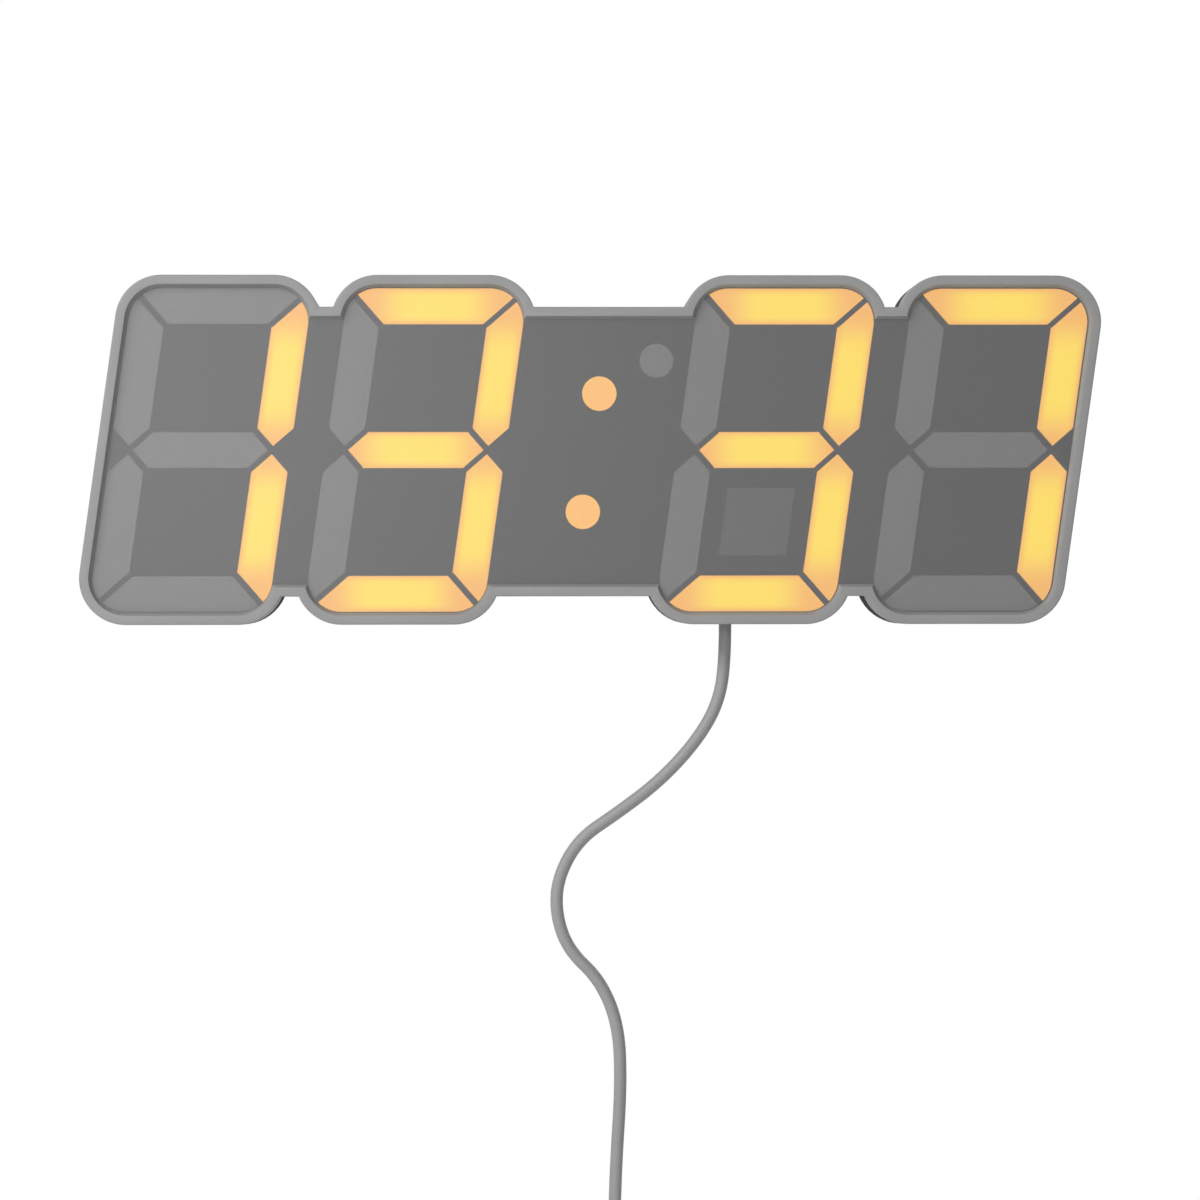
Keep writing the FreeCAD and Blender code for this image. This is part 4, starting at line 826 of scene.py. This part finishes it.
# Nickel plate is a warm, bright metal; natural nylon is a translucent cream
nickelled_steel = plated_metal("nickel_plated_steel", "#B7B3AA", "#CBC8C0", 0.24)
cell = turned_piece("coin_cell_can", CELL_X, CELL_Z, CELL_PROFILE)
dress(nickelled_steel, cell)
stand_for(cell, "clock", "cell_steel", "coin_cell")
natural_nylon = moulded_plastic("moulded_nylon_natural", "#D6D2C4", "#DFDBCE", roughness=0.42,
                                grain_size=0.6, grain_depth=0.01)
dress_nodes(natural_nylon, "coin_cell_holder", "lead_socket")


# Button switches: four tactile switches of 6 by 6 mm, moulded in black nylon with a dull shine
# and soldered to the board's rear, each with a bore for the button's plunger.
black_nylon = moulded_plastic("moulded_nylon_black", "#202021", "#2A2A2B", roughness=0.5,
                              grain_size=0.4, grain_depth=0.01)
dress_nodes(black_nylon, "button_switches")


# Rear shell: a tray moulded in black ABS, its tongue pushed into the frame. It holds the screws'
# sinks, the keyholes, the vents, and the openings for the buttons, the battery cap and the cord.
# Its coarse eroded grain scatters what it reflects, so it looks deep black and hardly shines.
shell_abs = moulded_plastic("moulded_abs_black", "#161617", "#1D1D1E", roughness=0.85,
                            grain_size=0.6, grain_depth=0.03, ior=1.35)
dress_nodes(shell_abs, "rear_shell")


# Case screws: eight zinc-plated self-tapping screws with pan heads and cross recesses, driven from
# behind through the shell and the board into the frame's bosses. Each stops at its own turn.
SCREW_SINK = 3
HEAD_RADIUS = 2.8
HEAD_HIGH = 2
HEAD_ROUND = 0.7
HEAD_STEPS = 3
SCREW_LONG = 15
SCREW_RADIUS = 1.45
CORE_RADIUS = 1.1
TIP_RADIUS = CORE_RADIUS * 0.4
THREAD_START = 1
THREAD_PITCH = 1.3
THREAD_TURNS = 10
# Radii over one turn of the thread, each at a share of the pitch
THREAD_PROFILE = [(CORE_RADIUS, 0), (SCREW_RADIUS, 0.4), (SCREW_RADIUS, 0.5), (CORE_RADIUS, 0.9)]
RECESS_REACH = 1.6
RECESS_HALF = 0.38
RECESS_DEEP = 1.2
RECESS_FLOOR_REACH = RECESS_REACH * 0.6
RECESS_FLOOR_HALF = RECESS_HALF * 0.7
RECESS_BETWEEN = [math.radians(28), math.pi / 4, math.radians(62)]
LEAST_PART = 0.001


def outlined(angles, radius_at, height):
    """A loop of a pattern whose radius follows a rule of the angle."""
    return [(radius_at(angle) * math.cos(angle), radius_at(angle) * math.sin(angle), height)
            for angle in angles]


def rings(angles, profile):
    """Round loops of a pattern from radii and heights."""
    return [outlined(angles, lambda _: radius, height) for radius, height in profile]


def slot_radius(angle, reach, half):
    """How far a straight slot reaches from its middle in one direction."""
    along = max(abs(math.cos(angle)), LEAST_PART)
    across = max(abs(math.sin(angle)), LEAST_PART)
    return min(reach / along, half / across)


def cross_radius(angle, reach, half):
    """How far two crossed slots reach from their middle in one direction."""
    return max(slot_radius(angle, reach, half), slot_radius(angle + math.pi / 2, reach, half))


corner = math.atan(RECESS_HALF / RECESS_REACH)
quarter = [0, corner, *RECESS_BETWEEN, math.pi / 2 - corner]
screw_angles = [turn * math.pi / 2 + angle for turn in range(4) for angle in quarter]
head_back = SCREW_SINK - HEAD_HIGH
recess = [(RECESS_FLOOR_REACH, RECESS_FLOOR_HALF, head_back + RECESS_DEEP),
          (RECESS_REACH, RECESS_HALF, head_back)]
screw_profile = [(HEAD_RADIUS - HEAD_ROUND * (1 - math.sin(angle)),
                  head_back + HEAD_ROUND * (1 - math.cos(angle))) for angle in quarter_turn(HEAD_STEPS)]
screw_profile += [(HEAD_RADIUS, SCREW_SINK), (CORE_RADIUS, SCREW_SINK)]
for turn in range(THREAD_TURNS):
    start = SCREW_SINK + THREAD_START + turn * THREAD_PITCH
    screw_profile += [(radius, start + THREAD_PITCH * share) for radius, share in THREAD_PROFILE]
screw_profile.append((TIP_RADIUS, SCREW_SINK + SCREW_LONG))
screw_pattern = lofted_piece(
    "screw_pattern",
    [outlined(screw_angles, lambda angle: cross_radius(angle, reach, half), height)
     for reach, half, height in recess] + rings(screw_angles, screw_profile))

# Zinc plate is a cool grey with a soft shine
zinc_steel = plated_metal("zinc_plated_steel", "#9FA0A4", "#B4B5B8", 0.34)
screws = copies("pan_head_screws", [(x, 0, z) for x, z in boss_places()], screw_pattern, zinc_steel,
                turn_spread=math.pi / 2, seed=7)
stand_for(screws, "clock", "screw_steel", "case_screws")


# Buttons: four black ABS caps in the recess at the rear. Each has a slightly dished end with a
# soft edge, a flange that keeps it in the shell, and a plunger that reaches the switch.
BUTTON_X = -62
BUTTON_Z = -34
BUTTON_PITCH = 13
BUTTON_STEPS = {"down_button": -1.5, "up_button": -0.5, "mode_button": 0.5, "set_button": 1.5}
BUTTON_PROFILE = [(0.7, 0.72), (1.7, 0.6), (2.45, 0.45), (2.7, 0.4), (2.9, 0.47), (3, 0.65),
                  (3, 3.65), (3.8, 3.65), (4, 3.85), (4, 4.45), (1.4, 4.45), (1.4, 6.1), (1.2, 6.25)]

# Black ABS from a polished mould: a satin that shines more than the shell round it
button_abs = moulded_plastic("satin_abs_black", "#232324", "#2C2C2D", roughness=0.4,
                             grain_size=0.5, grain_depth=0.01)
for body, step in BUTTON_STEPS.items():
    cap = turned_piece(body + "_cap", BUTTON_X + step * BUTTON_PITCH, BUTTON_Z, BUTTON_PROFILE)
    dress(button_abs, cap)
    stand_for(cap, body, "button_abs", body)


# Battery cap: a black ABS disc of 24 mm over the coin cell, turned by a coin in its slot. Two lugs
# on its hub hold it behind the shell's wall.
CAP_RADIUS = 12
CAP_BACK = 0.2
CAP_FRONT = 2.2
CAP_EDGE = 0.5
CAP_STEPS = 4
SLOT_REACH = 9
SLOT_HALF = 1
SLOT_DEEP = 1.2
SLOT_BETWEEN = [math.radians(degrees) for degrees in (11, 17, 25, 35, 48, 62, 76)]
HUB_RADIUS = 8.5
HUB_FRONT = 3.3
LUG_INNER = 7.5
LUG_OUTER = 13.6
LUG_HALF_ANGLE = math.radians(18)

corner = math.atan(SLOT_HALF / SLOT_REACH)
quarter = [0, corner, *SLOT_BETWEEN]
cap_angles = quarter + [math.pi / 2] + [math.pi - angle for angle in reversed(quarter)]
cap_angles += [math.pi + angle for angle in cap_angles[1:-1]]
cap_profile = [(CAP_RADIUS - CAP_EDGE * (1 - math.sin(angle)), CAP_BACK + CAP_EDGE * (1 - math.cos(angle)))
               for angle in quarter_turn(CAP_STEPS)]
cap_profile += [(CAP_RADIUS, CAP_FRONT), (HUB_RADIUS, CAP_FRONT), (HUB_RADIUS, HUB_FRONT)]
cap_stacks = [[outlined(cap_angles, lambda angle: slot_radius(angle, SLOT_REACH, SLOT_HALF), height)
               for height in (CAP_BACK + SLOT_DEEP, CAP_BACK)] + rings(cap_angles, cap_profile)]
for side in (0, math.pi):
    first = side - LUG_HALF_ANGLE
    last = side + LUG_HALF_ANGLE
    lug = [(LUG_INNER, first), (LUG_OUTER, first), (LUG_OUTER, last), (LUG_INNER, last)]
    cap_stacks.append([[(reach * math.cos(angle), reach * math.sin(angle), height) for reach, angle in lug]
                       for height in (CAP_FRONT, HUB_FRONT)])
battery_cap = lofted_piece("coin_turned_cap", *[
    [[(CELL_X + x, -height, CELL_Z + z) for x, z, height in ring] for ring in stack]
    for stack in cap_stacks])
smooth_faces(battery_cap)
dress(button_abs, battery_cap)
stand_for(battery_cap, "battery_cap", "button_abs", "battery_cap")


# Supply leads and relief: inside the housing the cord splits into a red and a black lead that run
# to the board's socket. The relief is moulded on the cord and fills its hole in the bottom wall.
relief_vinyl = moulded_plastic("moulded_vinyl_grey", "#5C5C5C", "#646464", roughness=0.55,
                               grain_size=0.6, grain_depth=0.02)
dress_nodes(relief_vinyl, "strain_relief")

# Extruded vinyl comes out smoother than moulded vinyl, with a soft wet shine
red_vinyl = moulded_plastic("extruded_vinyl_red", "#A3201C", "#B02A24", roughness=0.4,
                            grain_size=0.8, grain_depth=0.01)
black_vinyl = moulded_plastic("extruded_vinyl_black", "#1E1E1F", "#262627", roughness=0.4,
                              grain_size=0.8, grain_depth=0.01)
shape = merged_copy("supply_leads")
low, high = node_box("supply_leads")
for face in shape.faces:
    face.material_index = 1 if face.calc_center_median().x / MM > (low.x + high.x) / 2 else 0
leads = piece_of_copy("red_and_black_leads", shape)
leads.data.materials.append(red_vinyl)
leads.data.materials.append(black_vinyl)
stand_for(leads, "clock", "cord_jacket", "supply_leads")


# Supply cord: a round grey lead of 4.5 mm in a soft vinyl jacket. It leaves the bottom of the
# housing behind digit 3 and hangs down in slow bends. Its put-away length is wound into two flat
# layers of turns below the view, with a strap round them and the plug beside them.
CORD_ACROSS = 4.5
CORD_EXIT = Vector((48.2, -5.2, -61.5))
CORD_ROUTE = [
    (0, 0, 0),
    (0, -14.9, 0),
    (-2.9, -29.7, -0.1),
    (-11.3, -43.3, -0.3),
    (-24.2, -56.9, -0.6),
    (-39.0, -67.9, -0.8),
    (-52.6, -77.1, -1.0),
    (-60.1, -91.1, -1.1),
    (-60.6, -104.1, -1.0),
    (-56.2, -116.6, -0.8),
    (-44.8, -127.4, -0.7),
    (-38.2, -143.7, -0.9),
    (-37.4, -165.5, -1.1),
    (-39.2, -192.5, -1.3),
    (-40.0, -219.0, -1.3),
    (-40.0, -241.5, -1.3),
]
COIL_RADIUS = 35
COIL_STEP = 5
COIL_HALF_TURNS = 7
COIL_LEAD = 5
COIL_TAIL = 23
COIL_POINTS = 7
ROUND_RESOLUTION = 6
SPAN_RESOLUTION = 8


def coil_points(start):
    """Control points of the coil: it spirals in, climbs to the front layer, and spirals out again."""
    back = start.y
    front = start.y - COIL_STEP
    # Each half turn's number from the outside in, and how far off the wall it starts and ends
    half_turns = [(number, back, back) for number in range(COIL_HALF_TURNS)]
    half_turns.append((COIL_HALF_TURNS, back, front))
    half_turns += [(number, front, front) for number in range(COIL_HALF_TURNS - 1, -1, -1)]
    bulge = 1 / math.cos(math.pi / COIL_POINTS / 2)
    points = []
    side = 1
    reach = COIL_RADIUS
    for number, y_from, y_to in half_turns:
        radius = COIL_RADIUS - number * COIL_STEP / 2
        middle_x = start.x - COIL_RADIUS + side * (reach - radius)
        for point in range(COIL_POINTS):
            part = (point + 0.5) / COIL_POINTS
            x = middle_x + side * radius * bulge * math.cos(part * math.pi)
            z = start.z - COIL_LEAD - side * radius * bulge * math.sin(part * math.pi)
            points.append(Vector((x, y_from + (y_to - y_from) * part, z)))
        reach = 2 * radius - reach
        side = -side
    # The last half turn stops at the bottom, where the tail to the plug leaves it
    del points[-(COIL_POINTS // 2):]
    return points


route = [CORD_EXIT + Vector((across, -off, up)) for across, up, off in CORD_ROUTE]
coil = coil_points(route[-1])
plug_back = Vector((route[-1].x - COIL_RADIUS - COIL_STEP - COIL_TAIL, route[-1].y - COIL_STEP,
                    route[-1].z - COIL_LEAD - COIL_RADIUS))
control = route + coil + [plug_back + Vector((COIL_TAIL / 2, 0, 0)), plug_back]
cord_curve = bpy.data.curves.new("supply_cord", "CURVE")
cord_curve.dimensions = "3D"
cord_curve.bevel_depth = CORD_ACROSS / 2 * MM
cord_curve.bevel_resolution = ROUND_RESOLUTION
cord_curve.resolution_u = SPAN_RESOLUTION
cord_curve.use_fill_caps = True
spline = cord_curve.splines.new("NURBS")
spline.points.add(len(control) - 1)
for point, place in zip(spline.points, control):
    point.co = (*(place * MM), 1)
spline.order_u = 3
spline.use_endpoint_u = True
supply_cord = bpy.data.objects.new("supply_cord", cord_curve)
bpy.context.scene.collection.objects.link(supply_cord)

# Soft vinyl: an even satin grey, smoother than the housing
cord_jacket = moulded_plastic("soft_vinyl_grey", "#8E8E8E", "#929292", roughness=0.55,
                              grain_size=0.8, grain_depth=0.004, ior=1.53)
dress(cord_jacket, supply_cord)
stand_for(supply_cord, "clock", "cord_jacket", "cord", "cord_coil")


# Strap: a band of woven black nylon, 7 mm wide, round the coil's two layers at the top. Its loose
# end is pressed down over the front.
STRAP_HALF = 3.5
STRAP_THICK = 0.5
STRAP_ROUND = 2.2
# The band's section round the coil: which side, and how far in from its outer face
STRAP_SECTION = [(-1, 0), (1, 0), (1, STRAP_THICK), (-1, STRAP_THICK), (-1, 0)]
TAB_THICK = 0.3
TAB_INSET = 0.4
TAB_ROUND = 1.2
STRAP_WEAVE = 0.7
STRAP_WEAVE_DEEP = 0.15
LOOP_STEPS = 5


def rounded_loop(half_a, half_b, radius):
    """A rounded rectangle's points round the middle, as pairs."""
    corners = [(1, 1, 0), (-1, 1, 1), (-1, -1, 2), (1, -1, 3)]
    points = []
    for side_a, side_b, quarter in corners:
        for number in range(LOOP_STEPS + 1):
            angle = (quarter + number / LOOP_STEPS) * math.pi / 2
            points.append((side_a * (half_a - radius) + radius * math.cos(angle),
                           side_b * (half_b - radius) + radius * math.sin(angle)))
    return points


low, high = node_box("cord_tie")
strap_x = (low.x + high.x) / 2
strap_y = (low.y + high.y) / 2
strap_z = (low.z + high.z) / 2
half_deep = (high.y - low.y) / 2 - TAB_THICK
half_tall = (high.z - low.z) / 2 - TAB_THICK
points = []
faces = []
loft([[(strap_x + side * STRAP_HALF, strap_y + a, strap_z + b) for a, b in
       rounded_loop(half_deep - inset, half_tall - inset, STRAP_ROUND - inset)]
      for side, inset in STRAP_SECTION], points, faces)
tab = [(strap_x + a, strap_z - half_tall / 2 + b)
       for a, b in rounded_loop(STRAP_HALF - TAB_INSET, half_tall / 2, TAB_ROUND)]
loft([[(a, strap_y - half_deep - depth, b) for a, b in tab] for depth in (-TAB_THICK / 2, TAB_THICK)],
     points, faces, closed_ends=True)
strap = new_piece("woven_strap", points, faces)
smooth_faces(strap)

# Woven nylon: crossing threads catch the light in turn, so it looks dry and finely checked
woven_nylon, tree, surface = new_material("woven_nylon_black")
place = add_node(tree, "ShaderNodeTexCoord").outputs["Object"]
threads = add_node(tree, "ShaderNodeTexChecker", {
    "Vector": place, "Scale": 1 / (STRAP_WEAVE * MM), "Color1": linear_colour("#1C1C1D"),
    "Color2": linear_colour("#2E2E30")})
relief = add_node(tree, "ShaderNodeBump", {
    "Height": threads.outputs["Fac"], "Strength": 0.6, "Distance": STRAP_WEAVE_DEEP * MM})
fill_inputs(tree, surface, {
    "Base Color": threads.outputs["Color"], "Roughness": 0.8, "Normal": relief.outputs["Normal"]})
dress(woven_nylon, strap)
stand_for(strap, "clock", "tie_plastic", "cord_tie")


# Plug: a flat low-voltage supply plug. Its grip is vinyl moulded over the cord's end, ribbed for
# the fingers, and a folded nickel-plated shell with two catches on each face holds a white tongue.
GRIP_HALF_HIGH = 3.8
GRIP_HALF_WIDE = 7.75
GRIP_ROUND = 2.5
NECK_RADIUS = 3.4
RIB_DEEP = 0.45
RIB_PITCH = 2.2
RIB_COUNT = 5
RIB_START = 10.5
RIB_EDGE = 0.3
# The groove before each rib: the distance from its start, and its depth there
RIB_PROFILE = [(0, 0), (RIB_EDGE, RIB_DEEP), (RIB_PITCH / 2, RIB_DEEP), (RIB_PITCH / 2 + RIB_EDGE, 0)]
SHELL_HALF_HIGH = 2.25
SHELL_HALF_WIDE = 6
SHELL_ROUND = 0.6
SHELL_WALL = 0.35
SHELL_FLOOR = 0.5
SHELL_EDGE = 0.15
SHELL_LONG = 18
CATCH_SIDE = 2.2
CATCH_ALONG = 9
CATCH_ACROSS = 2.7
CATCH_REACH = 4
CONTACT_LONG = 9
CONTACT_FROM_TIP = 1.5
CONTACT_THICK = 0.3
CONTACT_PROUD = 0.1
CONTACT_PLACES = [(-3.5, 1.1), (-1, 0.9), (1, 0.9), (3.5, 1.1)]
SMALL_ROUND = 0.2

# The grip's sections: the distance from the cord's end, half the height and width, the rounding
NECK_EDGE = NECK_RADIUS - 0.5
GRIP_NECK = [
    (0, NECK_EDGE, NECK_EDGE, NECK_EDGE),
    (0.5, NECK_RADIUS, NECK_RADIUS, NECK_RADIUS),
    (5.6, NECK_RADIUS, NECK_RADIUS, NECK_RADIUS),
    (6, NECK_RADIUS, 5.6, NECK_RADIUS - 0.1),
    (6.5, GRIP_HALF_HIGH - 0.15, 7, GRIP_ROUND),
    (7.4, GRIP_HALF_HIGH, GRIP_HALF_WIDE, GRIP_ROUND),
]
GRIP_END = [
    (29.4, GRIP_HALF_HIGH, GRIP_HALF_WIDE, GRIP_ROUND),
    (30, GRIP_HALF_HIGH - 0.6, GRIP_HALF_WIDE - 0.6, GRIP_ROUND - 0.6),
]
ribs = [(RIB_START + number * RIB_PITCH + along, GRIP_HALF_HIGH - sunk, GRIP_HALF_WIDE - sunk, GRIP_ROUND)
        for number in range(RIB_COUNT) for along, sunk in RIB_PROFILE]

low, high = node_box("plug_grip")
plug_y = (low.y + high.y) / 2
plug_z = (low.z + high.z) / 2
grip_end = low.x


def plug_ring(x, half_high, half_wide, radius):
    """A rounded section across the plug."""
    return [(x, plug_y + a, plug_z + b) for a, b in rounded_loop(half_high, half_wide, radius)]


grip = lofted_piece("moulded_plug_grip", [
    plug_ring(high.x - along, half_high, half_wide, radius)
    for along, half_high, half_wide, radius in GRIP_NECK + ribs + GRIP_END])
smooth_faces(grip)
dress(cord_jacket, grip)
stand_for(grip, "clock", "cord_jacket", "plug_grip")

# The shell is folded round a mandrel, and two square catches are punched through both its faces
shell_profile = [(0, 0), (SHELL_LONG - SHELL_EDGE, 0), (SHELL_LONG, SHELL_EDGE), (SHELL_LONG, SHELL_WALL),
                 (SHELL_FLOOR, SHELL_WALL)]
sleeve = lofted_piece("folded_plug_shell", [
    plug_ring(grip_end - along, SHELL_HALF_HIGH - inset, SHELL_HALF_WIDE - inset, SHELL_ROUND - inset)
    for along, inset in shell_profile])
catches = lofted_piece("catch_holes", *[
    [[(grip_end - CATCH_ALONG + a, plug_y + depth, plug_z + side * CATCH_ACROSS + b)
      for a, b in rounded_loop(CATCH_SIDE / 2, CATCH_SIDE / 2, SMALL_ROUND)]
     for depth in (-CATCH_REACH, CATCH_REACH)] for side in (-1, 1)])
cutter = sleeve.modifiers.new("catches", "BOOLEAN")
cutter.object = catches
cutter.solver = "EXACT"
cut_mesh = bpy.data.meshes.new_from_object(sleeve.evaluated_get(bpy.context.evaluated_depsgraph_get()))
sleeve.modifiers.clear()
sleeve.data = cut_mesh
bpy.data.objects.remove(catches)
smooth_faces(sleeve)
dress(nickelled_steel, sleeve)
stand_for(sleeve, "clock", "plug_metal", "plug_shell")

# The tongue is white polyester, clean and a little waxy. Its contacts are gold-plated, a warm
# yellow that stays bright, and stand just proud of its front face.
white_insulator = moulded_plastic("moulded_polyester_white", "#DADAD6", "#E2E2DF", roughness=0.45,
                                  grain_size=0.4, grain_depth=0.01)
gold_contact = plated_metal("gold_plated_contact", "#C8A24A", "#D8B45C", 0.25)
low, high = node_box("plug_tongue")
half_high = (high.y - low.y) / 2 - CONTACT_PROUD / 2
half_wide = (high.z - low.z) / 2
middle_y = (high.y + low.y) / 2 + CONTACT_PROUD / 2
middle_x = low.x + CONTACT_FROM_TIP + CONTACT_LONG / 2
points = []
faces = []
loft([[(x, middle_y + a, plug_z + b) for a, b in rounded_loop(half_high, half_wide, SMALL_ROUND)]
      for x in (high.x, low.x)], points, faces, closed_ends=True)
body_faces = len(faces)
for across, wide in CONTACT_PLACES:
    loft([[(middle_x + a, y, plug_z + across + b)
           for a, b in rounded_loop(CONTACT_LONG / 2, wide / 2, SMALL_ROUND)]
          for y in (low.y + CONTACT_THICK, low.y)], points, faces, closed_ends=True)
tongue = new_piece("plug_tongue_and_contacts", points, faces)
tongue.data.materials.append(white_insulator)
tongue.data.materials.append(gold_contact)
for face in tongue.data.polygons[body_faces:]:
    face.material_index = 1
smooth_faces(tongue)
stand_for(tongue, "clock", "plug_insert", "plug_tongue")
